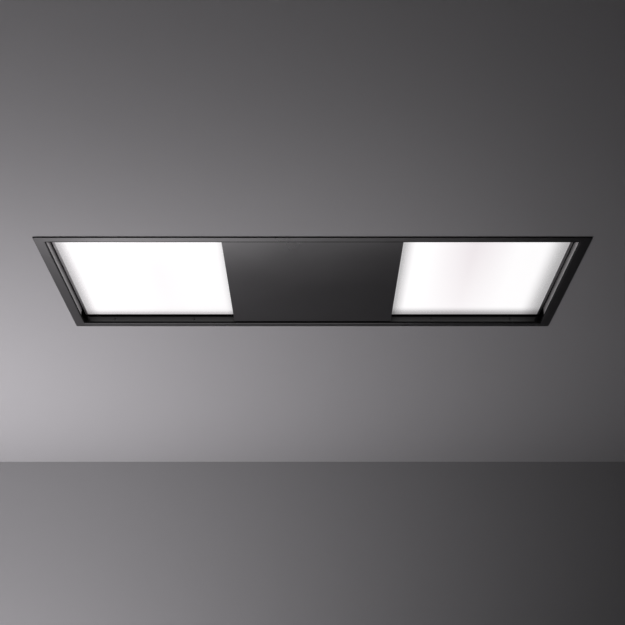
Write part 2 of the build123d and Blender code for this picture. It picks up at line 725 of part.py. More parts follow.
def filter_frame(side):
    """A filter's channel frame, with two tongues that hook into the rail."""
    outer_x = across(side, FILTER_IN, FILTER_OUT)
    lip_x = across(side, FILTER_IN + FILTER_LIP, FILTER_OUT - FILTER_LIP)
    lip_y = FILTER_Y - FILTER_LIP
    skin = FILTER_SHEET
    with BuildPart() as frame:
        between(outer_x, (-FILTER_Y, FILTER_Y), (FILTER_LOW, FILTER_TOP))
        between(
            (outer_x[0] + skin, outer_x[1] - skin),
            (-FILTER_Y + skin, FILTER_Y - skin),
            (FILTER_LOW + skin, FILTER_TOP - skin),
            Mode.SUBTRACT,
        )
        between(lip_x, (-lip_y, lip_y), (FILTER_LOW, FILTER_TOP), Mode.SUBTRACT)
        for at in (-TONGUE_AT, TONGUE_AT):
            x = side * FILTER_MID + at
            tongue_x = (x - TONGUE_WIDTH / 2, x + TONGUE_WIDTH / 2)
            between(tongue_x, (FILTER_Y - skin, TONGUE_END), (TONGUE_LOW, TONGUE_TOP))
    return frame


def channel(x, y, web_z, leg_z):
    """A baffle of three walls in the part that is open: a web and two legs along its edges."""
    between(x, y, web_z)
    between((x[0], x[0] + BAFFLE_SHEET), y, leg_z)
    between((x[1] - BAFFLE_SHEET, x[1]), y, leg_z)


def filter_baffles(side):
    """Two layers of channels that face each other and overlap, so that grease is thrown out of the air."""
    low = FILTER_LOW + FILTER_SHEET
    high = FILTER_TOP - FILTER_SHEET
    reach = FILTER_Y - FILTER_SHEET - BAFFLE_END_GAP
    rows = (
        (BAFFLE_ROWS[0], (low, low + BAFFLE_SHEET), (low, low + BAFFLE_LEG)),
        (BAFFLE_ROWS[1], (high - BAFFLE_SHEET, high), (high - BAFFLE_LEG, high)),
    )
    with BuildPart() as baffles:
        for count, web_z, leg_z in rows:
            for index in range(count):
                x = side * FILTER_MID + (index - (count - 1) / 2) * BAFFLE_PITCH
                channel((x - BAFFLE_WIDTH / 2, x + BAFFLE_WIDTH / 2), (-reach, reach), web_z, leg_z)
    return baffles


def filter_handle(side):
    """A folded finger loop under the near edge of a filter."""
    x = side * FILTER_MID
    half, drop = HANDLE
    gap = half - SHEET
    with BuildPart() as handle:
        between((x - half, x + half), HANDLE_Y, (FILTER_LOW - drop, FILTER_LOW))
        between((x - gap, x + gap), HANDLE_Y, (FILTER_LOW - drop + SHEET, FILTER_LOW), Mode.SUBTRACT)
        between((x - gap - HANDLE_FOOT, x - gap), HANDLE_Y, (FILTER_LOW - SHEET, FILTER_LOW))
        between((x + gap, x + gap + HANDLE_FOOT), HANDLE_Y, (FILTER_LOW - SHEET, FILTER_LOW))
    return handle


for name, side in SIDES.items():
    save(f"{name}_filter_frame", filter_frame(side))
    save(f"{name}_filter_baffles", filter_baffles(side))
    save(f"{name}_filter_handle", filter_handle(side))

# Blower box: four walls with a foot flange, and a duct hole in the rear wall
duct_plane = Plane(origin=(0, BOX_Y, DUCT_Z), x_dir=(1, 0, 0), z_dir=(0, 1, 0))
lid_screw_z = BOX_TOP - LID_SCREW_DROP
lid_screw_planes = facing([(x, -BOX_Y - THIN, lid_screw_z) for x in LID_SCREW_X], (0, -1, 0))
lid_screw_planes += facing([(x, BOX_Y + THIN, lid_screw_z) for x in LID_SCREW_X], (0, 1, 0))
with BuildPart() as blower_box:
    between((-BOX_X, BOX_X), (-BOX_Y, BOX_Y), (DECK_TOP, BOX_TOP))
    flange_x = BOX_X + BOX_FLANGE
    flange_y = BOX_Y + BOX_FLANGE
    between((-flange_x, flange_x), (-flange_y, flange_y), (DECK_TOP, DECK_TOP + THIN))
    between((-BOX_X + THIN, BOX_X - THIN), (-BOX_Y + THIN, BOX_Y - THIN), (DECK_TOP, BOX_TOP), Mode.SUBTRACT)
    holes([duct_plane], DUCT_R, 2 * THIN)
    holes(box_screws, DECK_SCREW_R + SCREW_FIT, THIN)
    holes(lid_screw_planes, SCREW_R + SCREW_FIT, 2 * THIN)
save("blower_box", blower_box)

with BuildPart() as blower_box_lid:
    lid_x = BOX_X + THIN
    lid_y = BOX_Y + THIN
    between((-lid_x, lid_x), (-lid_y, lid_y), (BOX_TOP - LID_SKIRT, BOX_TOP + THIN))
    between((-BOX_X, BOX_X), (-BOX_Y, BOX_Y), (BOX_TOP - LID_SKIRT, BOX_TOP), Mode.SUBTRACT)
    fillet(blower_box_lid.edges().group_by(Axis.Z)[-1], LID_EDGE)
    holes(lid_screw_planes, SCREW_R + SCREW_FIT, 2 * THIN)
save("blower_box_lid", blower_box_lid)

with BuildPart() as lid_screws:
    screws(lid_screw_planes, SCREW_HEAD_R, SCREW_HEAD, SCREW_R, 2 * THIN)
save("lid_screws", lid_screws)

# Base plate of the blower: stands on four folded legs over the deck opening
with BuildPart() as blower_base_plate:
    between((-PLATE_X, PLATE_X), PLATE_Y, (PLATE_LOW, PLATE_TOP))
    for side in SIDES.values():
        leg_x = across(side, PLATE_X - LEG_WIDTH, PLATE_X)
        between(leg_x, (PLATE_Y[0], PLATE_Y[0] + SHEET), (DECK_TOP, PLATE_LOW))
        between(leg_x, (PLATE_Y[1] - SHEET, PLATE_Y[1]), (DECK_TOP, PLATE_LOW))
    with Locations((FAN_X, FAN_Y, PLATE_LOW)):
        Cylinder(PLATE_HOLE_R, 4 * SHEET, mode=Mode.SUBTRACT)
save("blower_base_plate", blower_base_plate)

# Inlet ring: a flared mouth that leads the air into the impeller's eye
with BuildPart() as inlet_ring:
    with BuildSketch(Plane(origin=(FAN_X, FAN_Y, 0), x_dir=(1, 0, 0), z_dir=(0, -1, 0))):
        with BuildLine():
            inside, inside_mid, inside_throat = INLET_INSIDE
            outside, outside_mid, outside_throat = INLET_OUTSIDE
            low = PLATE_LOW - THIN
            flare = ThreePointArc((inside, low), inside_mid, (inside_throat, INLET_TOP))
            back = ThreePointArc((outside_throat, INLET_TOP), outside_mid, (outside, PLATE_LOW))
            Line(flare @ 1, back @ 0)
            Polyline(back @ 1, (INLET_RIM_R, PLATE_LOW), (INLET_RIM_R, low), flare @ 0)
        make_face()
    revolve(axis=Axis((FAN_X, FAN_Y, 0), (0, 0, 1)))
save("inlet_ring", inlet_ring)


def scroll_face(grow):
    """The scroll's plan: a spiral that opens round the impeller and leads into the outlet."""
    span = 360 - SCROLL_ANGLE
    spiral = []
    for step in range(SCROLL_STEPS + 1):
        turn = step / SCROLL_STEPS
        angle = math.radians(SCROLL_ANGLE + span * turn)
        radius = SCROLL_START + (SCROLL_END - SCROLL_START) * turn + grow
        spiral.append((FAN_X + radius * math.cos(angle), FAN_Y + radius * math.sin(angle)))
    with BuildSketch() as face:
        with BuildLine():
            curve = Spline(*spiral)
            right = FAN_X + SCROLL_END + grow
            Polyline(curve @ 1, (right, OUTLET_Y), (-right, OUTLET_Y), curve @ 0)
        make_face()
    return face.sketch


# Volute: the scroll's wall and its top plate, open at the bottom onto the base plate
with BuildPart() as volute_shell:
    with BuildSketch(Plane.XY.offset(PLATE_TOP)):
        add(scroll_face(THIN))
    extrude(amount=SCROLL_TOP - PLATE_TOP)
    with BuildSketch(Plane.XY.offset(PLATE_TOP)):
        add(scroll_face(0))
    extrude(amount=SCROLL_TOP - THIN - PLATE_TOP, mode=Mode.SUBTRACT)
    with Locations((FAN_X, FAN_Y, SCROLL_TOP)):
        Cylinder(SCROLL_BORE_R, 4 * THIN, mode=Mode.SUBTRACT)
save("volute_shell", volute_shell)

# One backward curved blade in plan, about the impeller's axis
with BuildSketch() as blade:
    with BuildLine():
        root = EYE_R + BLADE_THICK
        rear_mid = (BLADE_MID[0] + BLADE_THICK, BLADE_MID[1] - BLADE_THICK / 2)
        rear_tip = (BLADE_TIP[0] + BLADE_THICK, BLADE_TIP[1] - BLADE_THICK / 2)
        front = ThreePointArc((root, 0), BLADE_MID, BLADE_TIP)
        rear = ThreePointArc((root + BLADE_THICK, 0), rear_mid, rear_tip)
        Line(front @ 0, rear @ 0)
        Line(front @ 1, rear @ 1)
    make_face()

# Impeller: shroud, blades, back disc and hub
with BuildPart() as impeller:
    with BuildSketch(Plane((FAN_X, FAN_Y, FAN_LOW))):
        Circle(FAN_R)
        Circle(EYE_R, mode=Mode.SUBTRACT)
    extrude(amount=FAN_SHEET)
    with BuildSketch(Plane((FAN_X, FAN_Y, FAN_TOP - FAN_SHEET))):
        Circle(FAN_R)
    extrude(amount=FAN_SHEET)
    with BuildSketch(Plane((FAN_X, FAN_Y, HUB_LOW))):
        Circle(HUB_R)
    extrude(amount=FAN_TOP - HUB_LOW)
    with BuildSketch(Plane((FAN_X, FAN_Y, FAN_LOW + FAN_SHEET))):
        with PolarLocations(0, BLADES):
            add(blade.sketch)
    extrude(amount=FAN_TOP - FAN_LOW - 2 * FAN_SHEET)
    with Locations((FAN_X, FAN_Y, FAN_TOP)):
        Cylinder(SHAFT_R, 4 * FAN_R, mode=Mode.SUBTRACT)
save("impeller", impeller)

with BuildPart() as motor_shaft:
    with Locations((FAN_X, FAN_Y, HUB_LOW - SHAFT_HEAD)):
        Cylinder(SHAFT_R, SHAFT_TOP - HUB_LOW + SHAFT_HEAD, align=UP)
        Cylinder(SHAFT_HEAD_R, SHAFT_HEAD, align=UP)
    chamfer(motor_shaft.edges().group_by(Axis.Z)[-1], SHAFT_EDGE)
save("motor_shaft", motor_shaft)

with BuildPart() as motor_body:
    with Locations((FAN_X, FAN_Y, MOTOR_LOW)):
        Cylinder(MOTOR_R, MOTOR_TOP - MOTOR_LOW, align=UP)
    fillet(motor_body.edges().group_by(Axis.Z)[-1], MOTOR_EDGE)
    with Locations((FAN_X, FAN_Y, MOTOR_LOW)):
        Cylinder(MOTOR_FLANGE_R, MOTOR_FLANGE, align=UP)
        Cylinder(SHAFT_R + RUNNING, 2 * (MOTOR_TOP - MOTOR_LOW) - 2, mode=Mode.SUBTRACT)
    with BuildSketch(Plane((FAN_X, FAN_Y, GROOVE_Z[0]))):
        with PolarLocations(MOTOR_R, MOTOR_GROOVES):
            Rectangle(*GROOVE)
    extrude(amount=GROOVE_Z[1] - GROOVE_Z[0], mode=Mode.SUBTRACT)
save("motor_body", motor_body)

with BuildPart() as motor_bushes:
    with BuildSketch(Plane((FAN_X, FAN_Y, SCROLL_TOP))):
        with PolarLocations(MOTOR_BUSH_CIRCLE, MOTOR_BUSHES, start_angle=45):
            Circle(MOTOR_BUSH_R)
    extrude(amount=MOTOR_LOW - SCROLL_TOP)
save("motor_bushes", motor_bushes)

# Outlet adapter: from the scroll's rectangle to the round spigot
outlet_high = SCROLL_TOP - PLATE_TOP


def adapter_loft(grow):
    """A solid that runs from the scroll's outlet to the duct, grown outwards by the amount given."""
    outlet_centre = (0, OUTLET_Y, (SCROLL_TOP + PLATE_TOP - THIN) / 2)
    with BuildPart() as body:
        with BuildSketch(Plane(origin=outlet_centre, x_dir=(1, 0, 0), z_dir=(0, 1, 0))):
            Rectangle(2 * OUTLET_X + 2 * grow, outlet_high - THIN + 2 * grow)
        with BuildSketch(Plane(origin=(0, DUCT_START, DUCT_Z), x_dir=(1, 0, 0), z_dir=(0, 1, 0))):
            Circle(DUCT_R - DUCT_WALL + grow)
        loft()
    return body.part


with BuildPart() as outlet_adapter:
    add(adapter_loft(THIN))
    add(adapter_loft(0), mode=Mode.SUBTRACT)
save("outlet_adapter", outlet_adapter)

with BuildPart() as duct_spigot:
    with BuildSketch(Plane(origin=(0, DUCT_START, DUCT_Z), x_dir=(1, 0, 0), z_dir=(0, 1, 0))):
        Circle(DUCT_R)
    extrude(amount=DUCT_END - DUCT_START)
    with BuildSketch(duct_plane):
        Circle(DUCT_FLANGE_R)
    extrude(amount=SHEET)
    with BuildSketch(Plane.YZ):
        with Locations((sum(DUCT_STOP) / 2, DUCT_Z + DUCT_R)):
            Ellipse((DUCT_STOP[1] - DUCT_STOP[0]) / 2, DUCT_WALL)
    revolve(axis=Axis((0, 0, DUCT_Z), (0, 1, 0)))
    with BuildSketch(Plane(origin=(0, DUCT_START, DUCT_Z), x_dir=(1, 0, 0), z_dir=(0, 1, 0))):
        Circle(DUCT_R - DUCT_WALL)
    extrude(amount=DUCT_END - DUCT_START, mode=Mode.SUBTRACT)
    with Locations((0, DAMPER_Y, DUCT_Z)):
        Cylinder(DAMPER_PIN_R, 2 * DUCT_R + 2, mode=Mode.SUBTRACT)
save("duct_spigot", duct_spigot)

with BuildPart() as damper_pin:
    with Locations((0, DAMPER_Y, DUCT_Z)):
        Cylinder(DAMPER_PIN_R, 2 * (DUCT_R - DAMPER_PIN_END))
save("damper_pin", damper_pin)


def damper_flap(name, side):
    """Half of a butterfly damper, with its own knuckles on the shared pin."""
    with BuildPart() as flap:
        with BuildSketch(Plane(origin=(0, DAMPER_Y, DUCT_Z), x_dir=(1, 0, 0), z_dir=(0, 1, 0))):
            Circle(FLAP_R)
            with Locations((-side * FLAP_R, 0)):
                Rectangle(2 * FLAP_R + 2 * FLAP_START, 3 * FLAP_R, mode=Mode.SUBTRACT)
        extrude(amount=FLAP_THICK / 2, both=True)
        thickness = (DAMPER_Y - FLAP_THICK / 2, DAMPER_Y + FLAP_THICK / 2)
        for low, high in KNUCKLES[name]:
            between(across(side, 0, FLAP_START), thickness, (DUCT_Z + low, DUCT_Z + high))
            with Locations((0, DAMPER_Y, DUCT_Z + (low + high) / 2)):
                Cylinder(DAMPER_SLEEVE_R, high - low)
        with Locations((0, DAMPER_Y, DUCT_Z)):
            Cylinder(DAMPER_PIN_R + RUNNING, 3 * FLAP_R, mode=Mode.SUBTRACT)
    return flap


for name, side in SIDES.items():
    save(f"{name}_damper_flap", damper_flap(name, side))

# Control box on the deck, with its lid, board and cable gland
gland_plane = Plane(origin=(CONTROL_X[0], GLAND_Y, GLAND_Z), z_dir=(-1, 0, 0))
with BuildPart() as control_box:
    between(CONTROL_X, CONTROL_Y, (DECK_TOP, CONTROL_TOP))
    between(
        (CONTROL_X[0] + CONTROL_SHEET, CONTROL_X[1] - CONTROL_SHEET),
        (CONTROL_Y[0] + CONTROL_SHEET, CONTROL_Y[1] - CONTROL_SHEET),
        (DECK_TOP + CONTROL_SHEET, CONTROL_TOP),
        Mode.SUBTRACT,
    )
    holes([gland_plane], GLAND_THREAD_R, 2 * CONTROL_SHEET)
save("control_box", control_box)

with BuildPart() as control_box_lid:
    lid_x = (CONTROL_X[0] - CONTROL_SHEET, CONTROL_X[1] + CONTROL_SHEET)
    lid_y = (CONTROL_Y[0] - CONTROL_SHEET, CONTROL_Y[1] + CONTROL_SHEET)
    between(lid_x, lid_y, (CONTROL_TOP - CONTROL_SKIRT, CONTROL_TOP + CONTROL_SHEET))
    between(CONTROL_X, CONTROL_Y, (CONTROL_TOP - CONTROL_SKIRT, CONTROL_TOP), Mode.SUBTRACT)
save("control_box_lid", control_box_lid)

# Control board on four posts, with its terminal block, transformer and relays
with BuildPart() as control_board:
    board_x = (CONTROL_X[0] + BOARD_MARGIN[0], CONTROL_X[1] - BOARD_MARGIN[1])
    board_y = (CONTROL_Y[0] + BOARD_MARGIN[2], CONTROL_Y[1] - BOARD_MARGIN[2])
    top = BOARD_LOW + BOARD_THICK
    post_pitch_x = board_x[1] - board_x[0] - 2 * BOARD_POST_INSET
    post_pitch_y = board_y[1] - board_y[0] - 2 * BOARD_POST_INSET
    terminals_low = board_x[0] + TERMINALS_INSET[0]
    terminals_x = (terminals_low, terminals_low + TERMINALS[0])
    terminals_y = (board_y[0] + TERMINALS_INSET[1], board_y[1] - TERMINALS_INSET[1])
    parts_high = board_x[1] - PARTS_INSET
    transformer_low = board_y[0] + PARTS_INSET
    between(board_x, board_y, (BOARD_LOW, top))
    with Locations(Plane((sum(board_x) / 2, 0, BOARD_LOW))):
        with GridLocations(post_pitch_x, post_pitch_y, 2, 2):
            Cylinder(BOARD_POST_R, BOARD_LOW - DECK_TOP - CONTROL_SHEET, align=DOWN)
    between(terminals_x, terminals_y, (top, top + TERMINALS[1]))
    between(
        (parts_high - TRANSFORMER[0], parts_high),
        (transformer_low, transformer_low + TRANSFORMER[0]),
        (top, top + TRANSFORMER[1]),
    )
    for y in RELAY_Y:
        between((parts_high - RELAY[0], parts_high), (y, y + RELAY[1]), (top, top + RELAY[2]))
save("control_board", control_board)

with BuildPart() as cable_gland:
    with BuildSketch(gland_plane):
        RegularPolygon(GLAND_NUT[0], 6)
    extrude(amount=GLAND_NUT[1])
    with Locations(gland_plane):
        Cylinder(GLAND_THREAD_R, GLAND_BACK, align=DOWN)
    with Locations(gland_plane.offset(GLAND_NUT[1])):
        Cylinder(GLAND_DOME[0], GLAND_DOME[1], align=UP)
    fillet(cable_gland.edges().group_by(Axis.X)[0], GLAND_DOME[2])
    holes([gland_plane], GLAND_BORE_R, GLAND_NUT[1] + GLAND_DOME[1] + 1)
save("cable_gland", cable_gland)

with BuildPart() as led_drivers:
    for y in DRIVER_Y:
        body_y = (y - DRIVER_WIDTH / 2, y + DRIVER_WIDTH / 2)
        body_x = (DRIVER_X[0] + DRIVER_TAB[0], DRIVER_X[1] - DRIVER_TAB[0])
        between(body_x, body_y, (DECK_TOP, DECK_TOP + DRIVER_HEIGHT))
        between(DRIVER_X, body_y, (DECK_TOP, DECK_TOP + DRIVER_TAB[1]))
    tops = led_drivers.faces().sort_by(Axis.Z)[-2:]
    fillet(tops.edges(), DRIVER_EDGE)
save("led_drivers", led_drivers)

with BuildPart() as run_capacitor:
    capacitor_z = DECK_TOP + CAPACITOR_R + CAPACITOR_RAISED
    capacitor_plane = Plane(origin=(CAPACITOR_X[0], CAPACITOR_Y, capacitor_z), z_dir=(1, 0, 0))
    with BuildSketch(capacitor_plane):
        Circle(CAPACITOR_R)
    extrude(amount=CAPACITOR_X[1] - CAPACITOR_X[0])
    fillet(run_capacitor.edges(), CAPACITOR_EDGE)
    middle = sum(CAPACITOR_X) / 2
    saddle_y = (CAPACITOR_Y - SADDLE[1], CAPACITOR_Y + SADDLE[1])
    between((middle - SADDLE[0], middle + SADDLE[0]), saddle_y, (DECK_TOP, DECK_TOP + SADDLE[2]))
    with Locations(capacitor_plane.offset(CAPACITOR_X[1] - CAPACITOR_X[0])):
        with GridLocations(TERMINAL_PITCH, 0, 2, 1):
            Box(*TERMINAL, align=UP)
save("run_capacitor", run_capacitor)
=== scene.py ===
"""Dresses a flush ceiling hood: black rim, lit opal panels, centre door and the parts above the ceiling."""

import json
import logging
import math
from dataclasses import dataclass
from enum import Enum
from typing import Callable, Iterable

import bmesh
import bpy
from mathutils import Matrix, Vector

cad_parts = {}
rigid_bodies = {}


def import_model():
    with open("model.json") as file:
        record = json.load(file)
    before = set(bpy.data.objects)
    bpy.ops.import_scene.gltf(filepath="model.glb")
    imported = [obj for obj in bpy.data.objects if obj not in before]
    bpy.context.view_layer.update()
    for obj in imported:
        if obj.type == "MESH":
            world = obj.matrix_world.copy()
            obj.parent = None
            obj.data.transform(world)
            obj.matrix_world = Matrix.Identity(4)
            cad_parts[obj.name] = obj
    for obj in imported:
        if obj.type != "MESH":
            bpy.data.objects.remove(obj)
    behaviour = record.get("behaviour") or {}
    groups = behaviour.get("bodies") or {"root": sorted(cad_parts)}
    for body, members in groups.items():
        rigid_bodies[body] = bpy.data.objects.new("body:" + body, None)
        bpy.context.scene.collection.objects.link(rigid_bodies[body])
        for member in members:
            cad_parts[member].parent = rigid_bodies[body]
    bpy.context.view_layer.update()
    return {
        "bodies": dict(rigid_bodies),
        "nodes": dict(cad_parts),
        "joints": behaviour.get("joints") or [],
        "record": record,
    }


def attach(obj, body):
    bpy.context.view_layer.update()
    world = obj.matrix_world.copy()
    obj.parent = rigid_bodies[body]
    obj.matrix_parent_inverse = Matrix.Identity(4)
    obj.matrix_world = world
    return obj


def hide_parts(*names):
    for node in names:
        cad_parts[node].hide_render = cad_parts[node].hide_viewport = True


LOG = logging.getLogger("ceiling_hood")
MM = 0.001
BOTH = (-1, 1)
NOISE_RANGE = (0.3, 0.7)

BMesh = bmesh.types.BMesh
BMVert = bmesh.types.BMVert
Node = bpy.types.Node
Socket = bpy.types.NodeSocket
Sockets = bpy.types.bpy_prop_collection
Point = tuple[float, float, float]
Colour = tuple[float, float, float]
Span = tuple[float, float]


class Side(Enum):
    """Left or right of the middle of the hood, as the cook sees it."""

    LEFT = -1
    RIGHT = 1

    @property
    def word(self) -> str:
        """The side's name, as the node names have it."""
        return self.name.lower()


class Body(Enum):
    """The bodies of the hood that added pieces ride, apart from the two sides' own."""

    HOOD = "hood_body"
    DOOR = "centre_door"


# Node trees


@dataclass
class Graph:
    """A node tree with short ways to add nodes and join them."""

    tree: bpy.types.NodeTree

    def fill(self, node: Node, inputs: dict) -> None:
        """Sets a node's inputs, and joins those whose value is a socket.

        Args:
            node: The node.
            inputs: Values or sockets, by the input's name or number.
        """
        for name, value in inputs.items():
            if isinstance(value, Socket):
                self.tree.links.new(value, node.inputs[name])
            else:
                node.inputs[name].default_value = value

    def node(self, kind: str, inputs: dict | None = None, **settings: object) -> Node:
        """Adds a node.

        Args:
            kind: The node's type.
            inputs: Values or sockets for its inputs, by name or number.
            settings: The node's own properties.

        Returns:
            The new node.
        """
        made = self.tree.nodes.new(kind)
        for name, value in settings.items():
            setattr(made, name, value)
        self.fill(made, inputs or {})
        return made

    def math(self, operation: str, *values: object, clamp: bool = False) -> Socket:
        """The result of a math operation on one to three numbers or sockets."""
        inputs = dict(enumerate(values))
        return self.node("ShaderNodeMath", inputs, operation=operation, use_clamp=clamp).outputs[0]

    def vector_math(self, operation: str, first: object, second: object) -> Socket:
        """The result of an operation on two vectors."""
        return self.node("ShaderNodeVectorMath", {0: first, 1: second}, operation=operation).outputs[0]

    def mix(self, factor: object, first: object, second: object) -> Socket:
        """A blend that goes from the first colour to the second as the factor goes from 0 to 1.

        Args:
            factor: The factor, as a number or a socket.
            first: The first colour, as numbers or a socket.
            second: The second colour, likewise.

        Returns:
            The blend's socket.
        """
        ends = [end if isinstance(end, Socket) else rgba(end) for end in (first, second)]
        inputs = {"Factor": factor, 6: ends[0], 7: ends[1]}
        return self.node("ShaderNodeMix", inputs, data_type="RGBA").outputs[2]

    def remap(self, value: object, source: Span, target: Span) -> Socket:
        """Takes one range of numbers to another, and keeps the result within it."""
        inputs = dict(enumerate((value, *source, *target)))
        return self.node("ShaderNodeMapRange", inputs, clamp=True).outputs[0]

    def place(self) -> Socket:
        """The point on the piece, in metres, in the hood's own frame."""
        return self.node("ShaderNodeTexCoord").outputs["Object"]

    def axes(self, vector: Socket) -> Sockets:
        """A vector's X, Y and Z."""
        return self.node("ShaderNodeSeparateXYZ", {0: vector}).outputs

    def noise(self, where: Socket, scale: object, detail: float, roughness: float = 0.5) -> Sockets:
        """A noise texture's value and colour."""
        inputs = {"Vector": where, "Scale": scale, "Detail": detail, "Roughness": roughness}
        return self.node("ShaderNodeTexNoise", inputs).outputs

    def bump(self, height: Socket, depth: float) -> Socket:
        """A normal from a height, whose full depth is in metres."""
        return self.node("ShaderNodeBump", {"Height": height, "Distance": depth, "Strength": 1.0}).outputs[0]


def rgba(colour: Colour) -> tuple[float, float, float, float]:
    """A colour with full cover."""
    return (*colour, 1.0)


def shade(colour: Colour, factor: float) -> Colour:
    """A colour made darker or lighter."""
    return tuple(factor * part for part in colour)


def effect(graph: Graph, name: str, values: dict[str, float], outputs: Iterable[str],
           build: Callable[[Graph, Sockets], dict]) -> Sockets:
    """Places a shared effect, and makes its node group the first time.

    Args:
        graph: The node tree that it is placed in.
        name: The group's name.
        values: Its number inputs.
        outputs: The names of what it puts out, all of them numbers.
        build: Adds the group's nodes and returns the socket for each output.

    Returns:
        What it puts out, by name.
    """
    tree = bpy.data.node_groups.get(name)
    if tree is None:
        tree = bpy.data.node_groups.new(name, "ShaderNodeTree")
        for word, value in values.items():
            socket = tree.interface.new_socket(name=word, in_out="INPUT", socket_type="NodeSocketFloat")
            socket.default_value = value
        for word in outputs:
            tree.interface.new_socket(name=word, in_out="OUTPUT", socket_type="NodeSocketFloat")
        inside = Graph(tree)
        inside.node("NodeGroupOutput", build(inside, inside.node("NodeGroupInput").outputs))
    return graph.node("ShaderNodeGroup", values, node_tree=tree).outputs


def even_grain(graph: Graph, fine: float, cloud: float) -> Sockets:
    """Even grain, and a slow change over the surface.

    Args:
        graph: The node tree that it is placed in.
        fine: The grain's scale.
        cloud: The slow change's scale.

    Returns:
        Fine, the grain's height, and Cloud, the slow change.
    """

    def build(inside: Graph, values: Sockets) -> dict:
        """Adds the grain's nodes.

        Args:
            inside: The group's node tree.
            values: The group's inputs.

        Returns:
            The socket for each output.
        """
        where = inside.place()
        return {"Fine": inside.noise(where, values["Fine Scale"], 3.0, 0.6)[0],
                "Cloud": inside.noise(where, values["Cloud Scale"], 2.0)[0]}

    return effect(graph, "even_grain", {"Fine Scale": fine, "Cloud Scale": cloud}, ("Fine", "Cloud"), build)


def brushed_lines(graph: Graph, along: Point) -> Socket:
    """Brushed lines, long along one axis and fine across the other two.

    Args:
        graph: The node tree that they are placed in.
        along: Their scale along X, Y and Z.

    Returns:
        The lines' height.
    """
    names = ("Along X", "Along Y", "Along Z")

    def build(inside: Graph, values: Sockets) -> dict:
        """Adds the lines' nodes.

        Args:
            inside: The group's node tree.
            values: The group's inputs.

        Returns:
            The socket for each output.
        """
        scale = inside.node("ShaderNodeCombineXYZ", {index: values[name] for index, name in enumerate(names)})
        stretched = inside.vector_math("MULTIPLY", inside.place(), scale.outputs[0])
        return {"Lines": inside.noise(stretched, 1.0, 4.0, 0.7)[0]}

    return effect(graph, "brushed_lines", dict(zip(names, along)), ("Lines",), build)[0]


def zinc_spangle(graph: Graph, flake: float) -> Sockets:
    """The crystals of hot-dip zinc.

    Args:
        graph: The node tree that they are placed in.
        flake: The crystals' scale.

    Returns:
        Flake, each crystal's own tone, Feather, its fine streaks, and Seam, its edge.
    """

    def build(inside: Graph, values: Sockets) -> dict:
        """Adds the spangle's nodes.

        Args:
            inside: The group's node tree.
            values: The group's inputs.

        Returns:
            The socket for each output.
        """
        where = inside.place()
        bend = inside.noise(where, values["Bend Scale"], 3.0)[1]
        shift = inside.node("ShaderNodeVectorMath", {0: bend, "Scale": 0.012}, operation="SCALE")
        moved = inside.vector_math("ADD", where, shift.outputs[0])
        crystals = {"Vector": moved, "Scale": values["Flake Scale"]}
        cells = inside.node("ShaderNodeTexVoronoi", crystals)
        edges = inside.node("ShaderNodeTexVoronoi", crystals, feature="DISTANCE_TO_EDGE")
        tones = inside.node("ShaderNodeSeparateColor", {0: cells.outputs["Color"]}).outputs
        swing = {"Vector": where, "Angle": inside.math("MULTIPLY", tones[1], 6.28)}
        swung = inside.node("ShaderNodeVectorRotate", swing, rotation_type="Z_AXIS")
        streaks = inside.vector_math("MULTIPLY", swung.outputs[0], (60.0, 900.0, 500.0))
        return {"Flake": tones[0], "Feather": inside.noise(streaks, 1.0, 2.0)[0],
                "Seam": inside.remap(edges.outputs[0], (0.0, 0.06), (1.0, 0.0))}

    values = {"Flake Scale": flake, "Bend Scale": 40.0}
    return effect(graph, "zinc_spangle", values, ("Flake", "Feather", "Seam"), build)


def settled_dust(graph: Graph, amount: float) -> Socket:
    """Dust that has settled on faces that look up, in uneven patches.

    Args:
        graph: The node tree that it is placed in.
        amount: How thick it lies.

    Returns:
        The dust's mask.
    """

    def build(inside: Graph, values: Sockets) -> dict:
        """Adds the dust's nodes.

        Args:
            inside: The group's node tree.
            values: The group's inputs.

        Returns:
            The socket for each output.
        """
        spot = inside.node("ShaderNodeTexCoord").outputs
        up = inside.remap(inside.axes(spot["Normal"])[2], (0.55, 0.98), (0.0, 1.0))
        cover = inside.remap(inside.noise(spot["Object"], 9.0, 5.0, 0.65)[0], (0.36, 0.72), (0.25, 1.0))
        return {"Dust": inside.math("MULTIPLY", inside.math("MULTIPLY", up, cover), values["Amount"])}

    return effect(graph, "settled_dust", {"Amount": amount}, ("Dust",), build)[0]


def edge_wear(graph: Graph, amount: float) -> Socket:
    """Wear along rounded edges, from the piece's edge attribute, broken up by noise.

    Args:
        graph: The node tree that it is placed in.
        amount: How strong it is.

    Returns:
        The wear's mask.
    """

    def build(inside: Graph, values: Sockets) -> dict:
        """Adds the wear's nodes.

        Args:
            inside: The group's node tree.
            values: The group's inputs.

        Returns:
            The socket for each output.
        """
        edge = inside.node("ShaderNodeAttribute", attribute_name="edge", attribute_type="GEOMETRY")
        broken = inside.remap(inside.noise(inside.place(), 55.0, 4.0)[0], (0.42, 0.62), (0.0, 1.0))
        worn = inside.math("MULTIPLY", edge.outputs["Fac"], broken)
        return {"Wear": inside.math("MULTIPLY", worn, values["Amount"])}

    return effect(graph, "edge_wear", {"Amount": amount}, ("Wear",), build)[0]


def inside_mask(graph: Graph, reach: Span) -> Socket:
    """1 inside the tray's walls and 0 outside them, from the half length and half depth of the space."""
    inner = [graph.math("LESS_THAN", graph.math("ABSOLUTE", axis), limit)
             for axis, limit in zip(graph.axes(graph.place()), reach)]
    return graph.math("MULTIPLY", *inner)


# Finishes


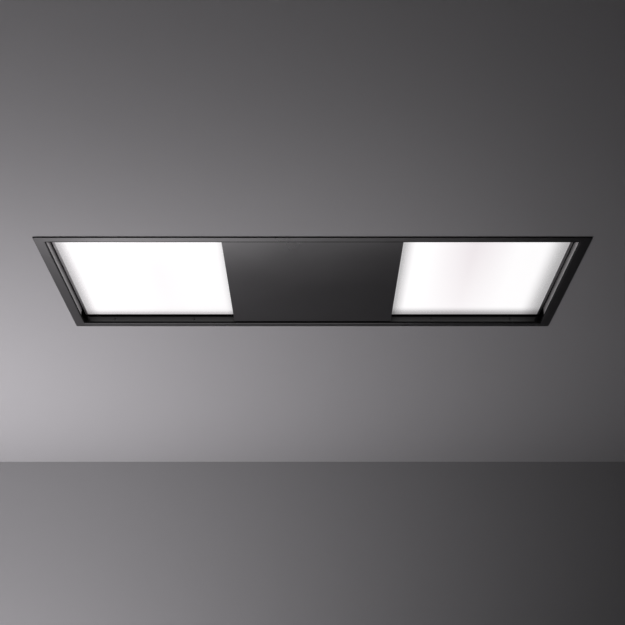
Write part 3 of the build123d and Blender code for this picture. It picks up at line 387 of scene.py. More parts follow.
@dataclass(frozen=True)
class Finish:
    """A finish: one material, made the first time that a piece takes it."""

    name: str

    def material(self) -> bpy.types.Material:
        """The finish's material.

        Returns:
            The material, made once.
        """
        made = bpy.data.materials.get(self.name)
        if made is None:
            made = bpy.data.materials.new(self.name)
            made.use_nodes = True
            self.build(Graph(made.node_tree), made.node_tree.nodes["Principled BSDF"])
        return made

    def build(self, graph: Graph, shader: Node) -> None:
        """Adds the finish's nodes to the material's tree, and joins them to its shader."""
        raise NotImplementedError


@dataclass(frozen=True)
class Aged(Finish):
    """A finish with wear on its edges and dust on the faces that look up."""

    colour: Colour = (0.6, 0.59, 0.575)
    roughness: Span = (0.24, 0.42)
    grain: float = 0.00003
    wear: float = 0.5
    worn: Colour = (0.72, 0.71, 0.7)
    dust: float = 0.0
    dusty: Colour = (0.42, 0.4, 0.38)
    dulling: float = 0.8
    hiding: float = 0.9
    metal: bool = True

    def age(self, graph: Graph, shader: Node, clean: Socket, rough: Socket, height: Socket,
            seams: object = 0.0) -> None:
        """Lays wear and dust over the clean surface, and joins it to the shader.

        Args:
            graph: The material's node tree.
            shader: Its Principled BSDF.
            clean: The clean surface's colour.
            rough: Its roughness.
            height: Its texture's height.
            seams: A mask of what is worn besides the edges.
        """
        wear = graph.math("MAXIMUM", edge_wear(graph, self.wear), seams)
        dust = settled_dust(graph, self.dust)
        graph.fill(shader, {
            "Base Color": graph.mix(dust, graph.mix(wear, clean, self.worn), self.dusty),
            "Roughness": graph.math("ADD", rough, graph.math("MULTIPLY", dust, self.dulling), clamp=True),
            "Normal": graph.bump(height, self.grain),
        })
        if self.metal:
            hidden = graph.math("MULTIPLY", dust, self.hiding)
            graph.fill(shader, {"Metallic": graph.math("SUBTRACT", 1.0, hidden, clamp=True)})


@dataclass(frozen=True)
class PowderCoat(Aged):
    """Satin powder coat with a fine even grain."""

    colour: Colour = (0.0105, 0.0102, 0.0108)
    roughness: Span = (0.27, 0.31)
    grain: float = 0.000012
    wear: float = 0.35
    worn: Colour = (0.045, 0.044, 0.045)
    dust: float = 0.22
    dusty: Colour = (0.16, 0.155, 0.148)
    dulling: float = 0.9
    metal: bool = False

    def build(self, graph: Graph, shader: Node) -> None:
        """Adds the coat's nodes.

        Args:
            graph: The material's node tree.
            shader: Its Principled BSDF.
        """
        grain = even_grain(graph, 1100.0, 5.0)
        coat = graph.mix(grain["Cloud"], shade(self.colour, 0.86), shade(self.colour, 1.16))
        rough = graph.remap(grain["Cloud"], NOISE_RANGE, self.roughness)
        self.age(graph, shader, coat, rough, grain["Fine"])


@dataclass(frozen=True)
class Galvanised(Aged):
    """Hot-dip galvanised sheet: crystals of several tones, with fine streaks in each."""

    roughness: Span = (0.34, 0.52)
    grain: float = 0.000025
    wear: float = 0.6
    worn: Colour = (0.66, 0.67, 0.68)
    dust: float = 0.3
    dusty: Colour = (0.43, 0.41, 0.385)
    tone: float = 0.52
    flake: float = 95.0

    def build(self, graph: Graph, shader: Node) -> None:
        """Adds the zinc's nodes.

        Args:
            graph: The material's node tree.
            shader: Its Principled BSDF.
        """
        spangle = zinc_spangle(graph, self.flake)
        cloud = graph.remap(even_grain(graph, 500.0, 3.5)["Cloud"], (0.35, 0.7), (0.0, 0.35))
        dark, light, dull = (shade(colour, self.tone) for colour in (
            (0.86, 0.88, 0.9), (1.1, 1.12, 1.14), (0.82, 0.83, 0.84)))
        mottled = graph.mix(cloud, graph.mix(spangle["Flake"], dark, light), dull)
        relief = graph.math("ADD", spangle["Flake"], spangle["Feather"])
        rough = graph.remap(relief, (0.4, 1.5), self.roughness)
        self.age(graph, shader, mottled, rough, relief, graph.math("MULTIPLY", spangle["Seam"], 0.25))


@dataclass(frozen=True)
class Brushed(Aged):
    """Metal with fine lines along one axis, and a slow change of tone."""

    along: Point = (700.0, 5.0, 700.0)

    def build(self, graph: Graph, shader: Node) -> None:
        """Adds the metal's nodes.

        Args:
            graph: The material's node tree.
            shader: Its Principled BSDF.
        """
        lines = brushed_lines(graph, self.along)
        streak = graph.remap(lines, NOISE_RANGE, (0.0, 1.0))
        tone = graph.mix(streak, shade(self.colour, 0.84), shade(self.colour, 1.1))
        cloud = graph.remap(even_grain(graph, 300.0, 8.0)["Cloud"], (0.4, 0.75), (0.0, 0.3))
        clouded = graph.mix(cloud, tone, shade(self.colour, 0.75))
        self.age(graph, shader, clouded, graph.remap(lines, NOISE_RANGE, self.roughness), lines)


@dataclass(frozen=True)
class TippedZinc(Brushed):
    """Bright zinc, painted black where a screw's tip comes through inside the tray."""

    tray_inside: Span = (0.5797, 0.2797)
    paint: Colour = (0.006, 0.006, 0.006)
    paint_roughness: float = 0.75

    def build(self, graph: Graph, shader: Node) -> None:
        """Adds the zinc's nodes and paints the tips.

        Args:
            graph: The material's node tree.
            shader: Its Principled BSDF.
        """
        super().build(graph, shader)
        mask = inside_mask(graph, self.tray_inside)
        bare = {link.to_socket.name: link.from_socket for link in graph.tree.links if link.to_node == shader}
        painted = graph.math("MULTIPLY", mask, self.paint_roughness)
        graph.fill(shader, {
            "Base Color": graph.mix(mask, bare["Base Color"], self.paint),
            "Metallic": graph.math("MULTIPLY", bare["Metallic"], graph.math("SUBTRACT", 1.0, mask)),
            "Roughness": graph.math("MAXIMUM", bare["Roughness"], painted),
        })


@dataclass(frozen=True)
class Moulded(Aged):
    """Moulded plastic or rubber with a fine texture."""

    colour: Colour = (0.02, 0.02, 0.021)
    roughness: Span = (0.42, 0.58)
    wear: float = 0.4
    dust: float = 0.2
    dusty: Colour = (0.3, 0.285, 0.27)
    dulling: float = 0.5
    metal: bool = False
    specular: float = 0.5

    def build(self, graph: Graph, shader: Node) -> None:
        """Adds the plastic's nodes.

        Args:
            graph: The material's node tree.
            shader: Its Principled BSDF.
        """
        grain = even_grain(graph, 800.0, 12.0)
        tone = graph.mix(grain["Cloud"], shade(self.colour, 0.85), shade(self.colour, 1.15))
        rough = graph.remap(grain["Fine"], NOISE_RANGE, self.roughness)
        graph.fill(shader, {"Specular IOR Level": self.specular})
        self.age(graph, shader, tone, rough, grain["Fine"])


def moulded(name: str, colour: Colour = Moulded.colour, **more: object) -> Moulded:
    """A moulded finish, rubbed lighter along its edges."""
    return Moulded(name, colour, worn=tuple(min(1.0, 1.5 * part + 0.02) for part in colour), **more)


@dataclass(frozen=True)
class OpalGlass(Finish):
    """Opal glass lit from behind, darker along each edge, where the lamps behind it end."""

    side: Side
    inner: float = 0.2005
    outer: float = 0.5672
    reach: float = 0.2672
    outer_fade: Span = (0.64, 0.034)
    inner_fade: Span = (0.25, 0.0155)
    far_fade: Span = (0.53, 0.042)
    near_fade: Span = (0.5, 0.04)
    # Depth and half width of a painted shade: a faint broad shadow painted into the glow near spot_at.
    cool_spot: Span = (0.09, 0.076)
    spot_at: float = 0.36
    spot_y: Span = (-0.25, 0.25)
    spot_share: Span = (1.0, 0.35)
    tint: Colour = (1.0, 0.99, 0.995)
    spot_tint: Colour = (1.0, 0.93, 0.96)
    strength: float = 0.82
    unlit: Colour = (0.36, 0.355, 0.352)
    roughness: Span = (0.22, 0.3)
    grain: float = 0.000004

    @staticmethod
    def fade(graph: Graph, distance: Socket, fade: Span) -> Socket:
        """The light left at a distance from an edge, by the share lost there and how far the loss reaches."""
        inputs = {0: distance, 1: 0.0, 2: fade[1], 3: 1.0 - fade[0], 4: 1.0}
        return graph.node("ShaderNodeMapRange", inputs, interpolation_type="SMOOTHSTEP").outputs[0]

    def build(self, graph: Graph, shader: Node) -> None:
        """Adds the glass's nodes.

        Args:
            graph: The material's node tree.
            shader: Its Principled BSDF.
        """
        where = graph.axes(graph.place())
        across = graph.math("MULTIPLY", where[0], float(self.side.value))
        edges = (
            (graph.math("SUBTRACT", self.outer, across), self.outer_fade),
            (graph.math("SUBTRACT", across, self.inner), self.inner_fade),
            (graph.math("SUBTRACT", self.reach, where[1]), self.far_fade),
            (graph.math("ADD", where[1], self.reach), self.near_fade),
        )
        share = 1.0
        for distance, fade in edges:
            share = graph.math("MULTIPLY", self.fade(graph, distance, fade), share)
        # Painted shade: a faint broad shadow painted into the glow, as a dimmer, pinker band down the glass.
        aside = graph.math("ABSOLUTE", graph.math("SUBTRACT", across, self.spot_at))
        spot = graph.remap(aside, (0.0, self.cool_spot[1]), (self.cool_spot[0], 0.0))
        spot = graph.math("MULTIPLY", spot, graph.remap(where[1], self.spot_y, self.spot_share))
        share = graph.math("MULTIPLY", share, graph.math("SUBTRACT", 1.0, spot))
        tint = graph.mix(graph.math("MULTIPLY", spot, 5.0, clamp=True), self.tint, self.spot_tint)
        fine = even_grain(graph, 400.0, 7.0)["Fine"]
        graph.fill(shader, {
            "Base Color": rgba(self.unlit),
            "Roughness": graph.remap(fine, NOISE_RANGE, self.roughness),
            "Emission Color": graph.mix(share, (0.0, 0.0, 0.0), tint),
            "Emission Strength": self.strength,
            "Normal": graph.bump(fine, self.grain),
        })


BRIGHT_ZINC = {"colour": (0.6, 0.61, 0.63), "along": (500.0, 500.0, 120.0), "roughness": (0.2, 0.36)}
BLACK_COAT = PowderCoat("satin_black_powder_coat")
WALL_COAT = PowderCoat("gloss_black_powder_coat", roughness=(0.09, 0.12))
HIDDEN_TIPS = TippedZinc("zinc_with_painted_tips", **BRIGHT_ZINC)
DARK_ANODISED = Brushed("dark_anodised", colour=(0.3, 0.295, 0.3), roughness=(0.26, 0.32))
MATT_STAINLESS = Brushed("matt_stainless", colour=(0.36, 0.354, 0.356), roughness=(0.46, 0.56))
# Near-black, almost unreflecting finish of the strip that paints the shadow line inside the rim's lip.
GREY_SEALANT = moulded("grey_sealant", (0.2, 0.2, 0.205), roughness=(0.4, 0.55), dust=0.3)
SHADOW_LINE_BLACK = moulded("matt_seal_rubber", (0.004, 0.004, 0.004), roughness=(0.8, 0.9), dust=0.0,
                      specular=0.08)
GLASSES = {
    Side.LEFT: OpalGlass("left_opal_glass", Side.LEFT),
    # The right glass glows stronger than the left: painted light that makes up for the lamp light falling on
    # the left glass.
    Side.RIGHT: OpalGlass("right_opal_glass", Side.RIGHT, outer_fade=(0.61, 0.052), inner_fade=(0.49, 0.032),
                          far_fade=(0.65, 0.061), cool_spot=(0.19, 0.099), strength=0.93),
}

SLOT_FINISHES = {
    "black_paint": BLACK_COAT,
    "galvanised": Galvanised("galvanised_spangle"),
    "stainless": Brushed("brushed_stainless"),
    "zinc_fixings": Brushed("bright_zinc_plate", **BRIGHT_ZINC),
    "black_plastic": moulded("black_moulded_plastic"),
    "rubber": moulded("black_rubber", (0.014, 0.014, 0.014), roughness=(0.65, 0.8), grain=0.00005),
    "led_white": moulded("white_led_board", (0.8, 0.8, 0.78), roughness=(0.35, 0.5), grain=0.00001, dust=0.0),
    "aluminium": Brushed("plain_aluminium", colour=(0.72, 0.725, 0.73), along=(40.0, 600.0, 600.0)),
    "magnet": Brushed("nickel_plate", colour=(0.55, 0.53, 0.5), along=(300.0, 300.0, 300.0),
                      roughness=(0.12, 0.2)),
    "board_green": moulded("green_circuit_board", (0.02, 0.11, 0.05), roughness=(0.3, 0.4), grain=0.00001),
    "driver_white": moulded("white_moulded_plastic", (0.72, 0.72, 0.7), dust=0.25),
    "opal_glass": GLASSES[Side.LEFT],
}


# Meshes

SHARP_TURN = math.radians(35.0)
SHORTEST_EDGE = 3.0 * MM
STRIP_TURN = (math.radians(0.8), math.radians(32.0))
STRIP_SHARE = 0.25
CREASE_TURN = math.radians(50.0)
TURNED_CREASE = math.radians(42.0)
WELDED = 0.0005 * MM


def merged_copy(node: bpy.types.Object) -> BMesh:
    """A copy of a CAD node's mesh, with its points merged and its flat faces made whole.

    Args:
        node: The CAD node's object.

    Returns:
        The copy, as a bmesh.
    """
    mesh = bmesh.new()
    mesh.from_mesh(node.data)
    bmesh.ops.remove_doubles(mesh, verts=mesh.verts[:], dist=0.002 * MM)
    bmesh.ops.dissolve_limit(mesh, angle_limit=math.radians(0.6), verts=mesh.verts[:], edges=mesh.edges[:])
    return mesh


def bevelled(mesh: BMesh, edges: Iterable[bmesh.types.BMEdge], width: float, segments: int,
             smooth: bool = True) -> dict:
    """Rounds edges.

    Args:
        mesh: The mesh that changes.
        edges: The edges.
        width: How far each edge is cut back.
        segments: How many faces make the rounding.
        smooth: Whether the new faces are shaded smooth.

    Returns:
        What the bevel made.
    """
    made = bmesh.ops.bevel(mesh, geom=list(edges), offset=width, offset_type="OFFSET", affect="EDGES",
                           segments=segments, profile=0.5, material=-1, clamp_overlap=True)
    if smooth:
        for face in made["faces"]:
            face.smooth = True
    return made


def soften(mesh: BMesh, width: float = 0.3 * MM, segments: int = 2) -> None:
    """Rounds the long sharp edges, and marks the rounded faces for wear.

    Args:
        mesh: The mesh that changes.
        width: How far each edge is cut back.
        segments: How many faces make the rounding.
    """
    layer = mesh.faces.layers.float.new("edge")
    sharp = [edge for edge in mesh.edges if len(edge.link_faces) == 2
             and edge.calc_face_angle(0.0) > SHARP_TURN and edge.calc_length() >= SHORTEST_EDGE]
    if sharp:
        for face in bevelled(mesh, sharp, width, segments)["faces"]:
            face[layer] = 1.0


def smooth_curves(mesh: BMesh) -> None:
    """Shades the strips of a curved face as one smooth face, and leaves the flat faces beside them flat.

    A neighbour counts as a strip of the same curve if it isn't much narrower than the face.

    Args:
        mesh: The mesh that changes.
    """
    low, high = STRIP_TURN
    mesh.faces.index_update()
    widths = [2.0 * face.calc_area() / max(face.calc_perimeter(), 1e-9) for face in mesh.faces]
    for face in mesh.faces:
        bends = 0
        for edge in face.edges:
            if len(edge.link_faces) == 2 and low < edge.calc_face_angle(0.0) < high:
                other = edge.link_faces[0] if edge.link_faces[1] is face else edge.link_faces[1]
                bends += widths[other.index] >= STRIP_SHARE * widths[face.index]
        if bends >= 2:
            face.smooth = True
    for edge in mesh.edges:
        if len(edge.link_faces) == 2 and edge.calc_face_angle(0.0) > CREASE_TURN:
            edge.smooth = False


def facing(at: Point, direction: Point) -> Matrix:
    """The place of a thing that stands at a point, with its own Z axis along a direction."""
    turn = Vector((0.0, 0.0, 1.0)).rotation_difference(Vector(direction)).to_matrix().to_4x4()
    return Matrix.Translation(at) @ turn


def span(way: int, inner: float, outer: float) -> Span:
    """The range between two distances from the middle, on one side of it."""
    return tuple(sorted((way * inner, way * outer)))


def around(middle: float, half: float) -> Span:
    """The range that reaches equally far both ways."""
    return (middle - half, middle + half)


def steps_between(low: float, high: float, count: int) -> list[float]:
    """Evenly spaced values from one end to the other."""
    return [low + (high - low) * index / (count - 1) for index in range(count)]


def in_mm(points: Iterable[Span]) -> list[Span]:
    """A profile that is written in millimetres, in metres."""
    return [(radius * MM, height * MM) for radius, height in points]


def block(mesh: BMesh, x: Span, y: Span, z: Span, rounding: float, segments: int = 2) -> None:
    """Adds a block with rounded edges.

    Args:
        mesh: The mesh that it is added to.
        x: Its range along X.
        y: Its range along Y.
        z: Its range along Z.
        rounding: How far each edge is cut back.
        segments: How many faces make the rounding.
    """
    low, high = (Vector(corner) for corner in zip(x, y, z))
    verts = bmesh.ops.create_cube(mesh, size=1.0)["verts"]
    bmesh.ops.scale(mesh, vec=high - low, verts=verts)
    bmesh.ops.translate(mesh, vec=(low + high) / 2, verts=verts)
    bevelled(mesh, dict.fromkeys(edge for vert in verts for edge in vert.link_edges), rounding, segments)


def turned(mesh: BMesh, profile: Iterable[Span], place: Matrix, steps: int = 24,
           closed: bool = False) -> None:
    """Adds a turned shape.

    Args:
        mesh: The mesh that it is added to.
        profile: Its outline from one end to the other, as radius and height.
        place: Where it stands.
        steps: How many sides it has.
        closed: Whether the outline's ends meet, as a ring's do.
    """
    before = set(mesh.verts)
    verts = [mesh.verts.new((radius, 0.0, height)) for radius, height in profile]
    pairs = list(zip(verts, verts[1:])) + ([(verts[-1], verts[0])] if closed else [])
    edges = [mesh.edges.new(pair) for pair in pairs]
    bmesh.ops.spin(mesh, geom=verts + edges, cent=(0.0, 0.0, 0.0), axis=(0.0, 0.0, 1.0), angle=math.tau,
                   steps=steps, use_merge=True)
    fresh = [vert for vert in mesh.verts if vert not in before]
    bmesh.ops.remove_doubles(mesh, verts=fresh, dist=WELDED)
    fresh = [vert for vert in mesh.verts if vert not in before]
    faces = list({face for vert in fresh for face in vert.link_faces})
    bmesh.ops.recalc_face_normals(mesh, faces=faces)
    bmesh.ops.transform(mesh, matrix=place, verts=fresh)
    for face in faces:
        face.smooth = steps > 8
        for edge in face.edges:
            edge.smooth = len(edge.link_faces) == 2 and edge.calc_face_angle(0.0) < TURNED_CREASE


def stamp(template: bpy.types.Mesh, places: Iterable[Matrix], mesh: BMesh | None = None) -> BMesh:
    """Adds a copy of a small shape at each place.

    Args:
        template: The small shape.
        places: Where they stand.
        mesh: The mesh that they are added to, or None for a new one.

    Returns:
        The mesh.
    """
    if mesh is None:
        mesh = bmesh.new()
    for place in places:
        copy = template.copy()
        copy.transform(place)
        mesh.from_mesh(copy)
        bpy.data.meshes.remove(copy)
    return mesh


def kept(mesh: BMesh, name: str) -> bpy.types.Mesh:
    """Turns a small shape into mesh data that can be stamped.

    Args:
        mesh: The mesh, which is used up.
        name: The name of the data.

    Returns:
        The mesh data.
    """
    data = bpy.data.meshes.new(name)
    mesh.to_mesh(data)
    mesh.free()
    return data


def islands(node: bpy.types.Object) -> list[tuple[Vector, Vector]]:
    """The boxes of a CAD node's separate solids.

    Args:
        node: The CAD node's object.

    Returns:
        The lowest and highest corner of each.
    """
    mesh = merged_copy(node)
    waiting = set(mesh.verts)
    boxes = []
    while waiting:
        front = [waiting.pop()]
        found = list(front)
        while front:
            near = {edge.other_vert(vert) for vert in front for edge in vert.link_edges} & waiting
            waiting -= near
            front = list(near)
            found += front
        low = Vector(min(vert.co[axis] for vert in found) for axis in range(3))
        high = Vector(max(vert.co[axis] for vert in found) for axis in range(3))
        boxes.append((low, high))
    mesh.free()
    return sorted(boxes, key=lambda box: tuple(round(value, 5) for value in box[0]))


def in_scene(name: str, data: bpy.types.ID) -> bpy.types.Object:
    """Makes an object of some data, and adds it to the scene.

    Args:
        name: The object's name.
        data: Its mesh, lamp or camera.

    Returns:
        The object.
    """
    made = bpy.data.objects.new(name, data)
    bpy.context.scene.collection.objects.link(made)
    return made


@dataclass
class Workshop:
    """Turns meshes into pieces of the hood, and gives CAD nodes their finish."""

    nodes: dict[str, bpy.types.Object]
    bodies: dict[str, str]
    slots: dict[str, str]

    @classmethod
    def of(cls, frame: dict) -> "Workshop":
        """Reads which body and slot each node has.


        Returns:
            The workshop for that frame.
        """
        record = frame["record"]
        groups = record["behaviour"]["bodies"]
        bodies = {node: body for body, members in groups.items() for node in members}
        slots = {part["node"]: part["material_slot"] for part in record["subparts"]}
        return cls(frame["nodes"], bodies, slots)

    def dress(self, name: str, finish: Finish | None = None) -> None:
        """Gives a CAD node its material.

        Args:
            name: The node.
            finish: Its finish, or the usual one of its slot.
        """
        material = (finish or SLOT_FINISHES[self.slots[name]]).material()
        for slot in self.nodes[name].material_slots:
            slot.material = material
        LOG.info("node %s: %s", name, material.name)

    def piece(self, mesh: BMesh, name: str, slot: str, finish: Finish | None = None,
              body: str = Body.HOOD.value, stands_for: Iterable[str] = ()) -> None:
        """Makes a finished piece from a mesh.

        Args:
            mesh: The mesh, which is used up.
            name: The piece's name.
            slot: The record's material slot.
            finish: Its finish, or the usual one of the slot.
            body: The body that it moves with.
            stands_for: CAD nodes that it replaces.
        """
        data = kept(mesh, name)
        data.materials.append((finish or SLOT_FINISHES[slot]).material())
        made = in_scene(name, data)
        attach(made, body)
        if stands_for:
            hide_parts(*stands_for)
        LOG.info("piece %s on %s: %d faces", name, body, len(data.polygons))

    def stand_in(self, mesh: BMesh, name: str, finish: Finish | None = None) -> None:
        """Makes a finished piece that takes a CAD node's place, on the node's body and slot."""
        self.piece(mesh, f"{name}_made", self.slots[name], finish, self.bodies[name], (name,))

    def softened(self, *names: str, width: float = 0.3 * MM, segments: int = 2) -> None:
        """Replaces CAD nodes with copies whose long edges are rounded and whose curves are smooth.

        Args:
            names: The nodes.
            width: How far each edge is cut back.
            segments: How many faces make the rounding.
        """
        for name in names:
            mesh = merged_copy(self.nodes[name])
            soften(mesh, width, segments)
            smooth_curves(mesh)
            self.stand_in(mesh, name)

    def smoothed(self, *names: str) -> None:
        """Replaces CAD nodes with copies whose curved faces are shaded smooth.

        Args:
            names: The nodes.
        """
        for name in names:
            mesh = merged_copy(self.nodes[name])
            mesh.faces.layers.float.new("edge")
            smooth_curves(mesh)
            self.stand_in(mesh, name)


# Fixings


@dataclass(frozen=True)
class Screw:
    """A cross-recess screw with a domed head, or a hexagon head on a washer."""

    head_radius: float
    head: float
    radius: float
    length: float
    hexagon: bool = False
    sides: int = 20

    def domed(self, mesh: BMesh) -> None:
        """Adds the domed head, open in the middle, with a cross pressed into it.

        Args:
            mesh: The mesh that it is added to.
        """
        wide, tall = self.head_radius, self.head
        ring = 0.56 * wide
        dome = [(self.radius, 0.0), (0.94 * wide, 0.0), (wide, 0.1 * tall), (wide, 0.34 * tall),
                (0.9 * wide, 0.68 * tall), (0.74 * wide, 0.9 * tall), (ring, tall)]
        turned(mesh, dome, Matrix(), self.sides)
        outer = [edge for edge in mesh.edges if len(edge.link_faces) == 1
                 and all(abs(vert.co.z - tall) < 0.01 * MM for vert in edge.verts)]
        arm, half = 0.46 * wide, 0.11 * wide
        corners = []
        for turn in range(4):
            spin = Matrix.Rotation(turn * math.pi / 2, 4, "Z")
            corners += [spin @ Vector((arm, -half, tall)), spin @ Vector((arm, half, tall)),
                        spin @ Vector((half, half, tall))]
        verts = [mesh.verts.new(corner) for corner in corners]
        inner = [mesh.edges.new(pair) for pair in zip(verts, verts[1:] + verts[:1])]
        bmesh.ops.bridge_loops(mesh, edges=outer + inner)
        cross = mesh.faces.new(verts)
        if cross.normal.z < 0.0:
            cross.normal_flip()
        pressed = bmesh.ops.extrude_face_region(mesh, geom=[cross])
        low = [part for part in pressed["geom"] if isinstance(part, BMVert)]
        bmesh.ops.scale(mesh, vec=(0.62, 0.62, 1.0), verts=low)
        bmesh.ops.translate(mesh, vec=(0.0, 0.0, -0.62 * tall), verts=low)
        bmesh.ops.delete(mesh, geom=[cross], context="FACES_ONLY")

    def six_sided(self, mesh: BMesh) -> None:
        """Adds the hexagon on its washer.

        Args:
            mesh: The mesh that it is added to.
        """
        wide, tall = self.head_radius, self.head
        turned(mesh, [(self.radius, 0.0), (wide, 0.0), (wide, 0.16 * tall), (0.86 * wide, 0.3 * tall),
                      (0.0, 0.32 * tall)], Matrix(), self.sides)
        turned(mesh, [(0.0, 0.2 * tall), (0.8 * wide, 0.2 * tall), (0.8 * wide, 0.84 * tall),
                      (0.68 * wide, tall), (0.5 * wide, tall), (0.44 * wide, 0.93 * tall),
                      (0.0, 0.93 * tall)], Matrix(), steps=6)

    def template(self, name: str) -> bpy.types.Mesh:
        """The screw's mesh, standing on the plane Z = 0 with its head up.

        Args:
            name: The name of the mesh data.

        Returns:
            The mesh data.
        """
        mesh = bmesh.new()
        if self.hexagon:
            self.six_sided(mesh)
        else:
            self.domed(mesh)
        tip = self.radius
        turned(mesh, [(self.radius, 0.0), (self.radius, tip - self.length), (0.3 * tip, -self.length),
                      (0.0, -self.length)], Matrix(), self.sides)
        bmesh.ops.remove_doubles(mesh, verts=mesh.verts[:], dist=WELDED)
        bmesh.ops.recalc_face_normals(mesh, faces=mesh.faces[:])
        return kept(mesh, name)


@dataclass
class Fixings:
    """All the screws of the hood, each where its CAD screw stands."""

    shop: Workshop
    families: tuple[tuple[str, Screw], ...] = (
        ("trim_screws", Screw(4.0 * MM, 2.4 * MM, 2.0 * MM, 3.0 * MM)),
        ("lid_screws", Screw(4.0 * MM, 2.4 * MM, 2.0 * MM, 2.4 * MM)),
        ("deck_screws", Screw(5.0 * MM, 4.0 * MM, 2.5 * MM, 7.2 * MM, hexagon=True)),
        ("left_cover_screws", Screw(2.8 * MM, 1.6 * MM, 1.5 * MM, 4.5 * MM)),
        ("right_cover_screws", Screw(2.8 * MM, 1.6 * MM, 1.5 * MM, 4.5 * MM)),
    )
    turn_step: float = 0.83

    def place(self, low: Vector, high: Vector, screw: Screw, index: int) -> Matrix:
        """Where a screw stands: its head looks away from the hood, or up, and each has its own turn.

        Args:
            low: The lowest corner of the CAD screw.
            high: Its highest corner.
            screw: The screw's sizes.
            index: Its number in the family.

        Returns:
            The matrix.
        """
        size = high - low
        wide = 2.0 * screw.head_radius
        axis = max(range(3), key=lambda number: abs(size[number] - wide))
        middle = (low + high) / 2
        way = 1.0 if axis == 2 or middle[axis] > 0.0 else -1.0
        direction = Vector((0.0, 0.0, 0.0))
        direction[axis] = way
        seat = middle.copy()
        seat[axis] = (high[axis] if way > 0 else low[axis]) - way * screw.head
        return facing(seat, direction) @ Matrix.Rotation(index * self.turn_step, 4, "Z")

    def build(self) -> None:
        """Replaces every family of screws."""
        for name, screw in self.families:
            places = [self.place(low, high, screw, index)
                      for index, (low, high) in enumerate(islands(self.shop.nodes[name]))]
            finish = HIDDEN_TIPS if name == "trim_screws" else None
            self.shop.stand_in(stamp(screw.template(f"{name}_template"), places), name, finish)


def dimple(radius: float, height: float, name: str, steps: int = 10) -> bpy.types.Mesh:
    """A low dome, such as a rivet's head or the mark of a spot weld.

    Args:
        radius: Its radius.
        height: How far it stands up.
        name: The name of the mesh data.
        steps: How many sides it has.

    Returns:
        The mesh data.
    """
    mesh = bmesh.new()
    dome = [(0.0, -0.05 * height), (radius, -0.05 * height), (radius, 0.2 * height),
            (0.8 * radius, 0.66 * height), (0.45 * radius, 0.93 * height), (0.0, height)]
    turned(mesh, dome, Matrix(), steps)
    return kept(mesh, name)


# The hood below the ceiling


@dataclass
class TrimRim:
    """The black rim under the ceiling, with a near-black strip inside its lip that paints the shadow line
    there.
    """

    shop: Workshop
    opening: Span = (578.0 * MM, 278.0 * MM)
    # Sizes of the near-black strip that paints the shadow line between the lip and the wall.
    seal_width: float = 0.8 * MM
    near_seal_width: float = 3.0 * MM
    seal_height: Span = (-2.15 * MM, 2.3 * MM)
    near_seal_low: float = -2.95 * MM
    overlap: float = 0.6

    def seal(self) -> BMesh:
        """Painted shade: four near-black lengths that meet at the corners, the near one wider, drawing the
        shadow line inside the rim's lip.
        """
        mesh = bmesh.new()
        x, y = self.opening
        wide = self.seal_width
        for way in BOTH:
            block(mesh, span(way, x - wide, x), (-y, y), self.seal_height, 0.2 * MM)
        length = around(0.0, x - self.overlap * wide)
        block(mesh, length, (y - wide, y), self.seal_height, 0.2 * MM)
        block(mesh, length, (-y, self.near_seal_width - y), (self.near_seal_low, self.seal_height[1]),
              0.3 * MM)
        return mesh

    def build(self) -> None:
        """Softens the rim and adds the near-black strip that paints the shadow line inside its lip."""
        self.shop.softened("trim_frame", width=0.35 * MM, segments=3)
        self.shop.piece(self.seal(), "rim_seal_strip", "rubber", SHADOW_LINE_BLACK)


@dataclass
class Tray:
    """The tray above the ceiling: walls with bright end plates, deck, hinge brackets and catch brackets."""

    shop: Workshop
    deck_top: float = 105.0 * MM
    weld_at: Span = (577.0 * MM, 277.0 * MM)
    weld_inset: Span = (20.0 * MM, 30.0 * MM)
    weld_count: tuple[int, int] = (13, 7)
    plate_x: Span = (578.1 * MM, 579.4 * MM)
    plate_y: Span = (-279.0 * MM, 228.0 * MM)
    plate_z: Span = (2.7 * MM, 23.0 * MM)

    def end_plates(self) -> BMesh:
        """The thin plates that line the two end walls inside, up to the hinge brackets."""
        mesh = bmesh.new()
        for way in BOTH:
            block(mesh, span(way, *self.plate_x), self.plate_y, self.plate_z, 0.2 * MM)
        return mesh

    def welds(self) -> BMesh:
        """A row of spot welds along each edge of the deck."""
        x, y = self.weld_at
        long, deep = (steps_between(*around(0.0, half - inset), count)
                      for half, inset, count in zip(self.weld_at, self.weld_inset, self.weld_count))
        points = [(at, way * y) for at in long for way in BOTH]
        points += [(way * x, at) for at in deep for way in BOTH]
        places = [Matrix.Translation((*point, self.deck_top)) for point in points]
        return stamp(dimple(2.6 * MM, 0.35 * MM, "deck_weld"), places)

    def build(self) -> None:
        """Dresses the tray's nodes and adds the welds and end plates."""
        self.shop.dress("liner_walls", WALL_COAT)
        self.shop.softened("liner_deck", "hinge_brackets", "catch_brackets")
        self.shop.smoothed("hinge_pins")
        self.shop.piece(self.welds(), "deck_spot_welds", "black_paint")
        self.shop.piece(self.end_plates(), "liner_end_plates", "stainless", MATT_STAINLESS)


